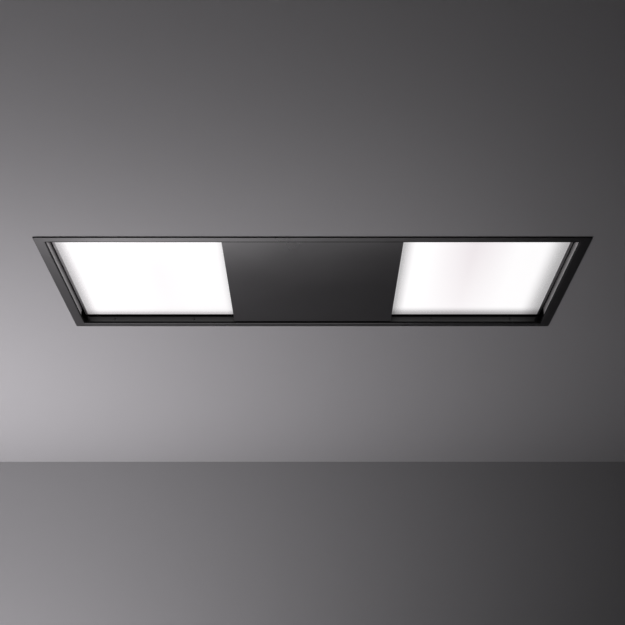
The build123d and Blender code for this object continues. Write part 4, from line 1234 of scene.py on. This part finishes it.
@dataclass
class LightPanel:
    """One hinged light panel: frame, opal glass, back cover and what it carries."""

    shop: Workshop
    side: Side
    trim_x: tuple[float, float, float] = (567.5 * MM, 571.0 * MM, 573.4 * MM)
    trim_y: float = 270.6 * MM
    trim_z: tuple[float, float, float] = (18.3 * MM, 19.0 * MM, 20.6 * MM)

    def edge_trim(self) -> BMesh:
        """The angle trim along the panel's outer edge, that narrows the slot."""
        mesh = bmesh.new()
        inner, edge, outer = self.trim_x
        low, seat, top = self.trim_z
        way, length = self.side.value, around(0.0, self.trim_y)
        block(mesh, span(way, inner, outer), length, (low, seat), 0.2 * MM)
        block(mesh, span(way, edge, outer), length, (low + 0.2 * MM, top), 0.25 * MM)
        return mesh

    def build(self) -> None:
        """Dresses the panel's nodes and adds its trim."""
        word = self.side.word
        self.shop.softened(*(f"{word}_{name}" for name in ("light_frame", "light_cover", "light_strikes")))
        self.shop.dress(f"{word}_light_glass", GLASSES[self.side])
        self.shop.dress(f"{word}_light_seal")
        self.shop.softened(f"{word}_led_board", width=0.15 * MM)
        self.shop.smoothed(f"{word}_hinge_bushes")
        self.shop.piece(self.edge_trim(), f"{word}_light_edge_trim", "aluminium", DARK_ANODISED,
                        f"{word}_light")


@dataclass
class CentreDoor:
    """The hinged door in the middle, with its stiffeners, strike plates and bushes."""

    shop: Workshop
    stiffener_y: tuple[float, ...] = (-150.0 * MM, 0.0, 150.0 * MM)
    foot_offset: float = 19.0 * MM
    foot_top: float = 1.7 * MM
    weld_reach: float = 170.0 * MM
    weld_count: int = 7

    def welds(self) -> BMesh:
        """The spot welds that hold the stiffeners' feet."""
        along = steps_between(*around(0.0, self.weld_reach), self.weld_count)
        places = [Matrix.Translation((x, y + way * self.foot_offset, self.foot_top))
                  for y in self.stiffener_y for way in BOTH for x in along]
        return stamp(dimple(2.4 * MM, 0.3 * MM, "foot_weld"), places)

    def build(self) -> None:
        """Softens the door and dresses what is on its back."""
        self.shop.softened("centre_door", width=0.35 * MM, segments=3)
        self.shop.softened("door_stiffeners")
        self.shop.softened("door_strikes", width=0.2 * MM)
        self.shop.smoothed("door_hinge_bushes")
        self.shop.piece(self.welds(), "stiffener_spot_welds", "galvanised", body=Body.DOOR.value)


@dataclass
class Catches:
    """The magnet catches: each magnet between two steel pole plates."""

    shop: Workshop
    plate: float = 1.6 * MM
    inset: float = 0.5 * MM

    def build(self) -> None:
        """Replaces the magnets with housings and pole plates."""
        housings, plates = bmesh.new(), bmesh.new()
        for low, high in islands(self.shop.nodes["catch_magnets"]):
            inner_y = (low.y + self.plate, high.y - self.plate)
            block(housings, (low.x + self.inset, high.x - self.inset), inner_y, (low.z + self.inset, high.z),
                  0.25 * MM)
            for y in ((low.y, inner_y[0]), (inner_y[1], high.y)):
                block(plates, (low.x, high.x), y, (low.z, high.z), 0.3 * MM)
        self.shop.piece(housings, "magnet_housings", "black_plastic")
        self.shop.stand_in(plates, "catch_magnets")


@dataclass
class GreaseFilter:
    """One grease filter: channel frame, two layers of baffles and a finger loop held by rivets."""

    shop: Workshop
    side: Side
    middle: float = 92.5 * MM
    rivet_x: float = 32.25 * MM
    rivet_y: float = -160.0 * MM
    rivet_z: float = 84.5 * MM

    def rivets(self) -> BMesh:
        """The two rivets of the finger loop."""
        centre = self.side.value * self.middle
        places = [facing((centre + way * self.rivet_x, self.rivet_y, self.rivet_z), (0.0, 0.0, -1.0))
                  for way in BOTH]
        return stamp(dimple(2.4 * MM, 1.0 * MM, f"{self.side.word}_loop_rivet", 16), places)

    def build(self) -> None:
        """Softens the filter's nodes and adds the rivets."""
        word = self.side.word
        self.shop.softened(f"{word}_filter_frame")
        self.shop.softened(f"{word}_filter_baffles", width=0.2 * MM)
        self.shop.softened(f"{word}_filter_handle", width=0.4 * MM, segments=3)
        self.shop.piece(self.rivets(), f"{word}_loop_rivets", "stainless", body=f"{word}_filter")


# The hood above the ceiling


@dataclass
class BlowerBox:
    """The galvanised box over the blower: walls with pressed panels, corner seams and a cross-broken lid."""

    shop: Workshop
    half: Span = (250.0 * MM, 220.0 * MM)
    wall_z: Span = (109.0 * MM, 281.0 * MM)
    seam_width: float = 13.0 * MM
    seam_thick: float = 0.7 * MM
    weld_count: int = 6
    weld_inset: float = 14.0 * MM
    near_panels: tuple[Span, Span] = ((-215.0 * MM, -20.0 * MM), (20.0 * MM, 215.0 * MM))
    end_panels: tuple[Span, Span] = ((-185.0 * MM, -15.0 * MM), (15.0 * MM, 185.0 * MM))
    panel_height: Span = (142.0 * MM, 258.0 * MM)
    panel_rise: float = 2.0 * MM
    panel_embed: float = 0.4 * MM
    panel_slope: float = 7.0 * MM
    panel_round: float = 2.5 * MM
    lid_half: Span = (251.2 * MM, 221.2 * MM)
    lid_break: float = -5.0 * MM
    fold_width: float = 3.0 * MM
    fold_depth: float = 0.95 * MM
    fold_reach: float = 0.94
    fold_slack: float = 0.1 * MM

    def seams(self) -> BMesh:
        """The overlapped sheet at each upright corner."""
        mesh = bmesh.new()
        x, y = self.half
        for way_x in BOTH:
            for way_y in BOTH:
                block(mesh, span(way_x, x, x + self.seam_thick),
                      span(way_y, y - self.seam_width, y - 0.5 * MM), self.wall_z, 0.3 * MM)
        return mesh

    def welds(self) -> BMesh:
        """The spot welds down each corner seam."""
        x = self.half[0] + self.seam_thick
        y = self.half[1] - self.seam_width / 2
        heights = steps_between(self.wall_z[0] + self.weld_inset, self.wall_z[1] - self.weld_inset,
                                self.weld_count)
        places = [facing((way_x * x, way_y * y, z), (way_x, 0.0, 0.0))
                  for way_x in BOTH for way_y in BOTH for z in heights]
        return stamp(dimple(2.6 * MM, 0.4 * MM, "seam_weld"), places)

    def pressed_panel(self, mesh: BMesh, spans: tuple[Span, Span, Span], axis: int, way: int) -> None:
        """Adds one panel whose sides slope up to its face, as a press leaves them.

        Args:
            mesh: The mesh that it is added to.
            spans: Its ranges along X, Y and Z.
            axis: The axis that it looks along, 0 for X and 1 for Y.
            way: The way that it looks along it, 1 or -1.
        """
        low, high = (Vector(corner) for corner in zip(*spans))
        size = high - low
        verts = bmesh.ops.create_cube(mesh, size=1.0)["verts"]
        outer = [vert for vert in verts if vert.co[axis] * way > 0.0]
        bmesh.ops.scale(mesh, vec=size, verts=verts)
        shrink = Vector(1.0 if index == axis else 1.0 - 2.0 * self.panel_slope / size[index]
                        for index in range(3))
        bmesh.ops.scale(mesh, vec=shrink, verts=outer)
        bmesh.ops.translate(mesh, vec=(low + high) / 2, verts=verts)
        faces = [face for face in outer[0].link_faces if all(vert in outer for vert in face.verts)]
        bevelled(mesh, faces[0].edges, self.panel_round, 3)

    def panels(self) -> BMesh:
        """The shallow panels pressed outwards in the near wall and the two end walls."""
        mesh = bmesh.new()
        depths = [(half - self.panel_embed, half + self.panel_rise) for half in self.half]
        for x in self.near_panels:
            self.pressed_panel(mesh, (x, span(-1, *depths[1]), self.panel_height), 1, -1)
        for way in BOTH:
            for y in self.end_panels:
                self.pressed_panel(mesh, (span(way, *depths[0]), y, self.panel_height), 0, way)
        return mesh

    @staticmethod
    def hub(mesh: BMesh) -> BMVert:
        """The highest point over the lid's middle."""
        return max((vert for vert in mesh.verts if vert.co.xy.length < MM), key=lambda vert: vert.co.z)

    def lid(self) -> BMesh:
        """The lid, creased from corner to corner so that it can't drum."""
        mesh = merged_copy(self.shop.nodes["blower_box_lid"])
        soften(mesh, 0.25 * MM)
        smooth_curves(mesh)
        level = [face for face in mesh.faces if abs(face.normal.z) > 0.99]
        for face in sorted(level, key=lambda face: face.calc_area())[-2:]:
            way = 1.0 if face.normal.z > 0.0 else -1.0
            bmesh.ops.poke(mesh, faces=[face], offset=way * self.lid_break, center_mode="MEAN")
        hub = self.hub(mesh)
        at = hub.co.copy()
        cut = bmesh.ops.subdivide_edges(mesh, edges=list(hub.link_edges), cuts=1)
        for vert in [part for part in cut["geom_inner"] if isinstance(part, BMVert)]:
            vert.co = at.lerp(vert.co, 2.0 * self.fold_reach)
        folds = bevelled(mesh, self.hub(mesh).link_edges, self.fold_width, 2, smooth=False)
        wide, deep = self.lid_half
        lines = [vert for vert in folds["verts"]
                 if abs(abs(vert.co.x) * deep - abs(vert.co.y) * wide) < self.fold_slack * wide]
        bmesh.ops.translate(mesh, vec=(0.0, 0.0, -self.fold_depth), verts=lines)
        return mesh

    def build(self) -> None:
        """Dresses the box and adds its seams, welds, panels and lid."""
        self.shop.softened("blower_box")
        self.shop.stand_in(self.lid(), "blower_box_lid")
        self.shop.piece(self.seams(), "box_corner_seams", "galvanised")
        self.shop.piece(self.welds(), "box_seam_welds", "galvanised")
        self.shop.piece(self.panels(), "box_pressed_panels", "galvanised")


@dataclass
class Blower:
    """The blower inside the box: base plate, inlet ring, scroll, impeller and motor."""

    shop: Workshop

    def build(self) -> None:
        """Dresses the blower's nodes."""
        self.shop.softened("blower_base_plate")
        self.shop.smoothed("inlet_ring", "volute_shell", "motor_body", "motor_bushes", "impeller",
                           "motor_shaft")


@dataclass
class DuctOutlet:
    """The round spigot with its flange, rivets, seam and damper."""

    shop: Workshop
    centre_z: float = 200.0 * MM
    wall_y: float = 220.0 * MM
    flange: float = 82.0 * MM
    flange_thick: float = 1.5 * MM
    rivet_circle: float = 78.6 * MM
    rivets: int = 8
    duct: float = 75.0 * MM
    seam_width: float = 8.0 * MM
    seam_thick: float = 0.6 * MM
    seam_end: float = 279.0 * MM

    def sealant(self) -> BMesh:
        """The bead of sealant round the flange."""
        mesh = bmesh.new()
        place = facing((0.0, self.wall_y, self.centre_z), (0.0, 1.0, 0.0))
        wide, tall = self.flange, self.flange_thick
        turned(mesh, [(wide - 0.4 * MM, 0.0), (wide + 2.2 * MM, 0.0), (wide + 1.6 * MM, 0.7 * tall),
                      (wide + 0.5 * MM, 1.05 * tall), (wide - 0.6 * MM, 1.12 * tall)], place, 64, closed=True)
        return mesh

    def rivet_heads(self) -> BMesh:
        """The rivets round the flange."""
        places = []
        for index in range(self.rivets):
            angle = (index + 0.5) * math.tau / self.rivets
            at = (self.rivet_circle * math.cos(angle), self.wall_y + self.flange_thick,
                  self.centre_z + self.rivet_circle * math.sin(angle))
            places.append(facing(at, (0.0, 1.0, 0.0)))
        return stamp(dimple(2.4 * MM, 1.1 * MM, "flange_rivet", 16), places)

    def seam_strip(self) -> BMesh:
        """The lock seam along the underside of the spigot."""
        mesh = bmesh.new()
        top = self.centre_z - self.duct + 0.3 * MM
        block(mesh, around(0.0, self.seam_width / 2), (self.wall_y + 1.5 * self.flange_thick, self.seam_end),
              (top - self.seam_thick - 0.3 * MM, top), 0.25 * MM)
        return mesh

    def build(self) -> None:
        """Dresses the outlet's nodes and adds the sealant, rivets and seam."""
        self.shop.smoothed("duct_spigot", "outlet_adapter", "damper_pin", "left_damper_flap",
                           "right_damper_flap")
        self.shop.piece(self.sealant(), "flange_sealant", "rubber", GREY_SEALANT)
        self.shop.piece(self.rivet_heads(), "flange_rivets", "aluminium")
        self.shop.piece(self.seam_strip(), "spigot_lock_seam", "galvanised")


@dataclass
class ControlBox:
    """The control box on the deck, with knock-outs, lid screws and a cable gland."""

    shop: Workshop
    half_y: float = 90.0 * MM
    sheet: float = 1.0 * MM
    knock_out_x: Point = (-432.0 * MM, -395.0 * MM, -358.0 * MM)
    knock_out_z: float = 130.0 * MM
    lid_screw_x: Span = (-445.0 * MM, -345.0 * MM)
    lid_screw_z: float = 155.5 * MM
    gland_at: Point = (-470.0 * MM, 40.0 * MM, 132.0 * MM)
    gland_ribs: int = 14

    def on_sides(self, xs: Iterable[float], out: float, z: float) -> list[Matrix]:
        """Places on both long sides, which look away from the box, at a distance out from them."""
        return [facing((x, way * (self.half_y + out), z), (0.0, way, 0.0)) for x in xs for way in BOTH]

    def knock_outs(self) -> BMesh:
        """Round knock-outs in the two long sides."""
        ring = bmesh.new()
        turned(ring, in_mm([(9.6, -0.1), (10.1, 0.4), (11.3, 0.4), (11.8, -0.1)]), Matrix(), 32, closed=True)
        turned(ring, in_mm([(0.0, 0.25), (8.9, 0.25), (9.3, -0.1), (0.0, -0.1)]), Matrix(), 32)
        return stamp(kept(ring, "knock_out"), self.on_sides(self.knock_out_x, 0.0, self.knock_out_z))

    def lid_screws(self) -> BMesh:
        """Two small screws in each long side of the lid's skirt."""
        template = Screw(3.0 * MM, 1.8 * MM, 1.5 * MM, 1.6 * MM).template("skirt_screw")
        return stamp(template, self.on_sides(self.lid_screw_x, self.sheet, self.lid_screw_z))

    def gland(self) -> BMesh:
        """The cable gland: hexagon nut, ribbed cap and rounded mouth."""
        mesh = bmesh.new()
        place = facing(self.gland_at, (-1.0, 0.0, 0.0))
        nut = [(7.5, 0.0), (12.0, 0.0), (12.0, 5.0), (11.0, 6.0), (7.5, 6.0)]
        cap = [(5.0, -4.0), (8.0, -4.0), (8.0, 5.6), (10.2, 5.8), (10.2, 14.2), (9.6, 16.2), (8.2, 17.6),
               (6.6, 18.0), (5.6, 17.6), (5.0, 16.6)]
        turned(mesh, in_mm(nut), place, 6, closed=True)
        turned(mesh, in_mm(cap), place, 32, closed=True)
        rib = bmesh.new()
        block(rib, (9.9 * MM, 10.5 * MM), around(0.0, 0.8 * MM), (7.0 * MM, 13.6 * MM), 0.25 * MM)
        turns = [index * math.tau / self.gland_ribs for index in range(self.gland_ribs)]
        return stamp(kept(rib, "gland_rib"), [place @ Matrix.Rotation(turn, 4, "Z") for turn in turns], mesh)

    def build(self) -> None:
        """Dresses the control box and adds its small parts."""
        self.shop.softened("control_box", "control_box_lid")
        self.shop.softened("control_board", width=0.2 * MM)
        self.shop.stand_in(self.gland(), "cable_gland")
        self.shop.piece(self.knock_outs(), "box_knock_outs", "galvanised")
        self.shop.piece(self.lid_screws(), "control_lid_screws", "zinc_fixings")


@dataclass
class LampDrivers:
    """The two lamp drivers: a ribbed middle, two end caps with grommets, and tabs with screws."""

    shop: Workshop
    body_x: Span = (342.0 * MM, 468.0 * MM)
    tab_x: Span = (330.0 * MM, 480.0 * MM)
    places_y: tuple[float, ...] = (-60.0 * MM, 20.0 * MM)
    width: float = 45.0 * MM
    bottom: float = 105.0 * MM
    height: float = 28.0 * MM
    tab: float = 3.0 * MM
    cap: float = 24.0 * MM
    ribs: int = 9
    inset: float = 0.8 * MM
    screw_inset: Span = (6.0 * MM, 12.0 * MM)
    grommet_height: float = 13.0 * MM

    def bodies(self) -> BMesh:
        """The white mouldings of both drivers."""
        mesh = bmesh.new()
        low_x, high_x = self.body_x
        middle = (low_x + self.cap, high_x - self.cap)
        low, top = self.bottom, self.bottom + self.height
        half, inset = self.width / 2, self.inset
        for y in self.places_y:
            for x in ((low_x, middle[0]), (middle[1], high_x)):
                block(mesh, x, around(y, half), (low, top), 2.0 * MM, 4)
            block(mesh, (middle[0] - inset, middle[1] + inset), (y - half + inset, y + half - inset),
                  (low, top - inset), 1.2 * MM, 3)
            for x in steps_between(middle[0] + 7.0 * MM, middle[1] - 7.0 * MM, self.ribs):
                block(mesh, around(x, 1.0 * MM), (y - half + 5.0 * MM, y + half - 5.0 * MM),
                      (top - 1.2 * inset, top - 0.2 * MM), 0.3 * MM)
            block(mesh, self.tab_x, around(y, 0.8 * half), (low, low + self.tab), 0.9 * MM, 3)
        return mesh

    def screws(self) -> BMesh:
        """A screw in each corner tab."""
        aside, deep = self.screw_inset
        ends = (self.tab_x[0] + aside, self.tab_x[1] - aside)
        places = [Matrix.Translation((x, y + way * deep, self.bottom + self.tab)) @ Matrix.Rotation(x, 4, "Z")
                  for y in self.places_y for way in BOTH for x in ends]
        return stamp(Screw(3.4 * MM, 2.0 * MM, 1.6 * MM, 3.4 * MM).template("tab_screw"), places)

    def grommets(self) -> BMesh:
        """The rubber grommet in each end cap."""
        mesh = bmesh.new()
        profile = in_mm([(1.6, 0.0), (2.2, 1.8), (3.6, 2.0), (4.6, 1.2), (4.8, -0.2), (1.6, -0.2)])
        for y in self.places_y:
            for x, way in zip(self.body_x, BOTH):
                place = facing((x, y, self.bottom + self.grommet_height), (way, 0.0, 0.0))
                turned(mesh, profile, place, 20, closed=True)
        return mesh

    def build(self) -> None:
        """Replaces the drivers."""
        self.shop.stand_in(self.bodies(), "led_drivers")
        self.shop.piece(self.screws(), "driver_screws", "zinc_fixings")
        self.shop.piece(self.grommets(), "driver_grommets", "rubber")


@dataclass
class RunCapacitor:
    """The motor's run capacitor: a rolled can, an end cap with two blades, and a clamp on the deck."""

    shop: Workshop
    start: Point = (330.0 * MM, 110.0 * MM, 125.0 * MM)
    length: float = 80.0 * MM
    radius: float = 18.0 * MM
    deck_top: float = 105.0 * MM
    clamp: Span = (34.0 * MM, 46.0 * MM)

    @property
    def place(self) -> Matrix:
        """Where the can stands, with its axis along X."""
        return facing(self.start, (1.0, 0.0, 0.0))

    def can(self) -> BMesh:
        """The aluminium can with its rolled groove."""
        wide, end = self.radius, self.length
        mesh = bmesh.new()
        profile = [(0.0, 0.0), (wide - 2.2 * MM, 0.0), (wide - 0.7 * MM, 0.6 * MM), (wide, 2.2 * MM)]
        profile += [(wide - inset * MM, end - back * MM) for inset, back in (
            (0.0, 11.0), (0.9, 9.6), (0.9, 8.6), (0.0, 7.2), (0.0, 1.0), (0.8, 0.0), (2.0, 0.4), (2.2, 1.8))]
        turned(mesh, [*profile, (0.0, end - 1.8 * MM)], self.place, 48)
        return mesh

    def cap(self) -> BMesh:
        """The plastic end cap, with a wall between the blades."""
        mesh = bmesh.new()
        wide, end = self.radius - 2.2 * MM, self.length
        turned(mesh, [(0.0, end - 2.0 * MM), (wide, end - 2.0 * MM), (wide, end - 0.8 * MM),
                      (wide - 0.8 * MM, end), (0.0, end)], self.place, 40)
        x, y, z = self.start
        block(mesh, (x + end - 0.2 * MM, x + end + 5.0 * MM), around(y, 0.9 * MM), around(z, 9.0 * MM),
              0.4 * MM)
        return mesh

    def blades(self) -> BMesh:
        """The two blade terminals."""
        mesh = bmesh.new()
        x, y, z = self.start
        end = x + self.length
        for way in BOTH:
            block(mesh, (end - 0.5 * MM, end + 8.0 * MM), around(y + way * 6.0 * MM, 0.4 * MM),
                  around(z, 3.1 * MM), 0.25 * MM)
        return mesh

    def clip(self) -> BMesh:
        """The clamp: a band round the can, a foot and the screws that draw it tight."""
        mesh = bmesh.new()
        low, high = self.clamp
        inner, outer = self.radius - 0.1 * MM, self.radius + 0.8 * MM
        turned(mesh, [(inner, low), (outer, low), (outer, high), (inner, high)], self.place, 48, closed=True)
        x, y, _ = self.start
        deck = self.deck_top
        block(mesh, (x + low - 2.0 * MM, x + high + 2.0 * MM), around(y, 14.0 * MM), (deck, deck + 2.4 * MM),
              0.5 * MM)
        block(mesh, (x + low, x + high), around(y, 5.0 * MM), (deck + 1.0 * MM, deck + 3.2 * MM), 0.4 * MM)
        places = [Matrix.Translation((x + (low + high) / 2, y + way * 10.5 * MM, deck + 2.4 * MM))
                  for way in BOTH]
        return stamp(Screw(3.0 * MM, 2.0 * MM, 1.5 * MM, 2.4 * MM).template("clamp_screw"), places, mesh)

    def build(self) -> None:
        """Replaces the capacitor."""
        self.shop.stand_in(self.can(), "run_capacitor")
        self.shop.piece(self.cap(), "capacitor_cap", "black_plastic")
        self.shop.piece(self.blades(), "capacitor_blades", "zinc_fixings")
        self.shop.piece(self.clip(), "capacitor_clamp", "galvanised")


@dataclass
class Supports:
    """The hanger brackets, and the seat and rail that carry the filters."""

    shop: Workshop

    def build(self) -> None:
        """Softens the folded supports."""
        self.shop.softened("hanger_brackets", width=0.5 * MM, segments=3)
        self.shop.softened("filter_seat", "filter_hook_rail")


# Studio


@dataclass
class Studio:
    """The pale room round the hood, its soft light and the camera."""

    cut_out: Span = (0.586, 0.286)
    ceiling_height: float = 0.0004
    wall_at: float = 1.86
    floor_height: float = -2.5
    reach: float = 12.0
    floor_reach: float = 6.0
    wall_half: float = 2.6
    low_sky: float = 0.015
    high_sky: float = 0.55
    pale: Colour = (0.74, 0.735, 0.73)
    ceiling: Colour = (0.478, 0.482, 0.49)
    wall: Colour = (0.391, 0.394, 0.4)
    floor: Colour = (0.8, 0.79, 0.79)
    floor_bounce: float = 0.2
    sky: Colour = (1.0, 0.985, 0.99)
    sky_seen: float = 0.82

    @staticmethod
    def matt(name: str) -> tuple[bpy.types.Material, Graph, Node]:
        """Starts a matt material.

        Args:
            name: The material's name.

        Returns:
            The material, its node tree and its Principled BSDF.
        """
        made = bpy.data.materials.new(name)
        made.use_nodes = True
        graph = Graph(made.node_tree)
        shader = made.node_tree.nodes["Principled BSDF"]
        graph.fill(shader, {"Roughness": 0.9, "Specular IOR Level": 0.1})
        return made, graph, shader

    @staticmethod
    def blend(graph: Graph, factor: Socket, first: Node, second: Node) -> None:
        """Gives the surface a blend of two shaders."""
        mixed = graph.node("ShaderNodeMixShader", {0: factor, 1: first.outputs[0], 2: second.outputs[0]})
        graph.tree.links.new(mixed.outputs[0], graph.tree.nodes["Material Output"].inputs[0])

    def plaster(self, name: str, colour: Colour, bounce: float = 1.0,
                back: Colour | None = None) -> bpy.types.Material:
        """A matt surface, either with another colour on its back or clear from behind.

        Args:
            name: The material's name.
            colour: Its colour.
            bounce: The share of its colour that lights the things round it.
            back: The colour of its back, or None where the camera looks through it from behind.

        Returns:
            The material.
        """
        made, graph, shader = self.matt(name)
        path = graph.node("ShaderNodeLightPath")
        seen = graph.math("MAXIMUM", path.outputs["Is Camera Ray"], path.outputs["Is Glossy Ray"])
        behind = graph.node("ShaderNodeNewGeometry").outputs["Backfacing"]
        front = graph.mix(seen, shade(colour, bounce), colour)
        graph.fill(shader, {"Base Color": graph.mix(behind, front, back) if back else front})
        if back is None:
            both = graph.math("MULTIPLY", behind, path.outputs["Is Camera Ray"])
            self.blend(graph, both, shader, graph.node("ShaderNodeBsdfTransparent"))
        return made

    def seen_only(self, name: str, colour: Colour) -> bpy.types.Material:
        """A matt surface that the camera sees from its front, and that nothing else meets.

        Args:
            name: The material's name.
            colour: Its colour.

        Returns:
            The material.
        """
        made, graph, shader = self.matt(name)
        graph.fill(shader, {"Base Color": rgba(colour)})
        front = graph.math("SUBTRACT", 1.0, graph.node("ShaderNodeNewGeometry").outputs["Backfacing"])
        seen = graph.math("MULTIPLY", front, graph.node("ShaderNodeLightPath").outputs["Is Camera Ray"])
        self.blend(graph, seen, graph.node("ShaderNodeBsdfTransparent"), shader)
        return made

    def sheet(self, name: str, corners: list[Point], material: bpy.types.Material) -> None:
        """Adds one flat part of the room.

        Args:
            name: Its name.
            corners: Its four corners, anticlockwise as seen from its front.
            material: Its material.
        """
        mesh = bmesh.new()
        mesh.faces.new([mesh.verts.new(corner) for corner in corners])
        data = kept(mesh, name)
        data.materials.append(material)
        in_scene(name, data)

    def level(self, name: str, x: Span, y: Span, z: float, material: bpy.types.Material,
              up: bool = True) -> None:
        """Adds a level sheet over a range along X and one along Y, whose front looks up or down."""
        corners = [(x[0], y[0], z), (x[1], y[0], z), (x[1], y[1], z), (x[0], y[1], z)]
        self.sheet(name, corners if up else [corners[0], *corners[:0:-1]], material)

    def build(self) -> None:
        """Adds the ceiling with its cut-out, the wall behind it, the loft's floor and the room's floor."""
        x, y = self.cut_out
        far, top, low, back = self.reach, self.ceiling_height, self.floor_height, self.wall_at
        ceiling = self.plaster("ceiling_plaster", self.ceiling, back=self.pale)
        strips = (((-far, -x), (-far, back)), ((x, far), (-far, back)),
                  ((-x, x), (-far, -y)), ((-x, x), (y, back)))
        for index, (across, along) in enumerate(strips):
            self.level(f"ceiling_{index}", across, along, top, ceiling, up=False)
        half = self.wall_half
        corners = [(-half, back, low), (half, back, low), (half, back, top), (-half, back, top)]
        self.sheet("back_wall", corners, self.plaster("wall_plaster", self.wall))
        self.level("loft_floor", (-far, far), (back, far), top, self.seen_only("loft_boards", self.pale))
        room = around(0.0, self.floor_reach)
        self.level("floor", room, room, low, self.plaster("pale_floor", self.floor, self.floor_bounce))

    @staticmethod
    def lamp(name: str, at: Point, towards: Point, size: Span, energy: float, colour: Colour,
             turn: float = 0.0, gloss_only: bool = False) -> None:
        """Adds a soft rectangular lamp.

        Args:
            name: Its name.
            at: Its place.
            towards: The point that it faces.
            size: The lengths of its sides, in metres.
            energy: Its power, in watts.
            colour: Its colour.
            turn: How far it is turned about the way that it faces, in degrees.
            gloss_only: Whether it shows only in glossy surfaces, as a pale reflector board does.
        """
        data = bpy.data.lights.new(name, "AREA")
        data.shape = "RECTANGLE"
        data.size, data.size_y = size
        data.energy = energy
        data.color = colour
        made = in_scene(name, data)
        made.location = at
        aim = (Vector(towards) - Vector(at)).to_track_quat("-Z", "Y").to_matrix()
        made.rotation_euler = (aim @ Matrix.Rotation(math.radians(turn), 3, "Z")).to_euler()
        made.visible_camera = False
        made.visible_diffuse = not gloss_only

    def light(self) -> None:
        """Adds the lamps below and above the ceiling, and the world's soft light."""
        self.lamp("low_left", (-1.11, 0.52, -2.3), (-2.6, 1.1, -0.44), (0.4, 0.4), 64.0, (1.0, 0.95, 0.985))
        under = (-0.204, -0.098, -0.316)
        self.lamp("reflector", under, (*under[:2], 0.0), (0.893, 1.29), 9.6, (1.0, 0.965, 0.99), -63.4, True)
        self.lamp("above_near", (-1.6, -2.2, 2.6), (0.0, 0.0, 0.1), (1.8, 1.8), 62.0, (1.0, 0.99, 0.98))
        self.lamp("above_far", (2.0, 1.8, 2.4), (0.0, 0.0, 0.1), (1.8, 1.8), 46.0, (0.97, 0.98, 1.0))
        world = bpy.data.worlds.new("soft_world")
        world.use_nodes = True
        graph = Graph(world.node_tree)
        background = world.node_tree.nodes["Background"]
        path = graph.node("ShaderNodeLightPath")
        direct = graph.math("MAXIMUM", path.outputs["Is Camera Ray"], path.outputs["Is Transmission Ray"])
        height = graph.axes(graph.node("ShaderNodeTexCoord").outputs["Generated"])[2]
        soft = graph.remap(height, (-0.02, 0.1), (self.low_sky, self.high_sky))
        strength = graph.math("MAXIMUM", graph.math("MULTIPLY", direct, self.sky_seen), soft)
        graph.fill(background, {"Color": rgba(self.sky), "Strength": strength})
        bpy.context.scene.world = world

    def camera(self) -> None:
        """Puts the camera where the photographer stood: low, in front and looking up."""
        data = bpy.data.cameras.new("cook_view")
        data.lens = 80.8
        data.sensor_width = 36.0
        made = in_scene("cook_view", data)
        made.location = (0.0, -3.0895, -1.127)
        made.rotation_euler = (math.radians(108.907), 0.0, 0.0)
        bpy.context.scene.camera = made


def main() -> None:
    """Loads the frame, dresses the hood and finishes the scene."""
    logging.basicConfig(level=logging.INFO, format="%(name)s %(message)s")
    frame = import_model()
    bpy.context.scene.view_settings.view_transform = "Standard"
    studio = Studio()
    studio.camera()
    shop = Workshop.of(frame)
    groups = [group(shop) for group in (TrimRim, Tray, CentreDoor, Catches, Supports, BlowerBox, Blower,
                                        DuctOutlet, ControlBox, LampDrivers, RunCapacitor, Fixings)]
    groups += [group(shop, side) for side in Side for group in (LightPanel, GreaseFilter)]
    for group in groups:
        LOG.info("building %s", type(group).__name__)
        group.build()
    studio.build()
    studio.light()


if __name__ == "__main__":
    main()
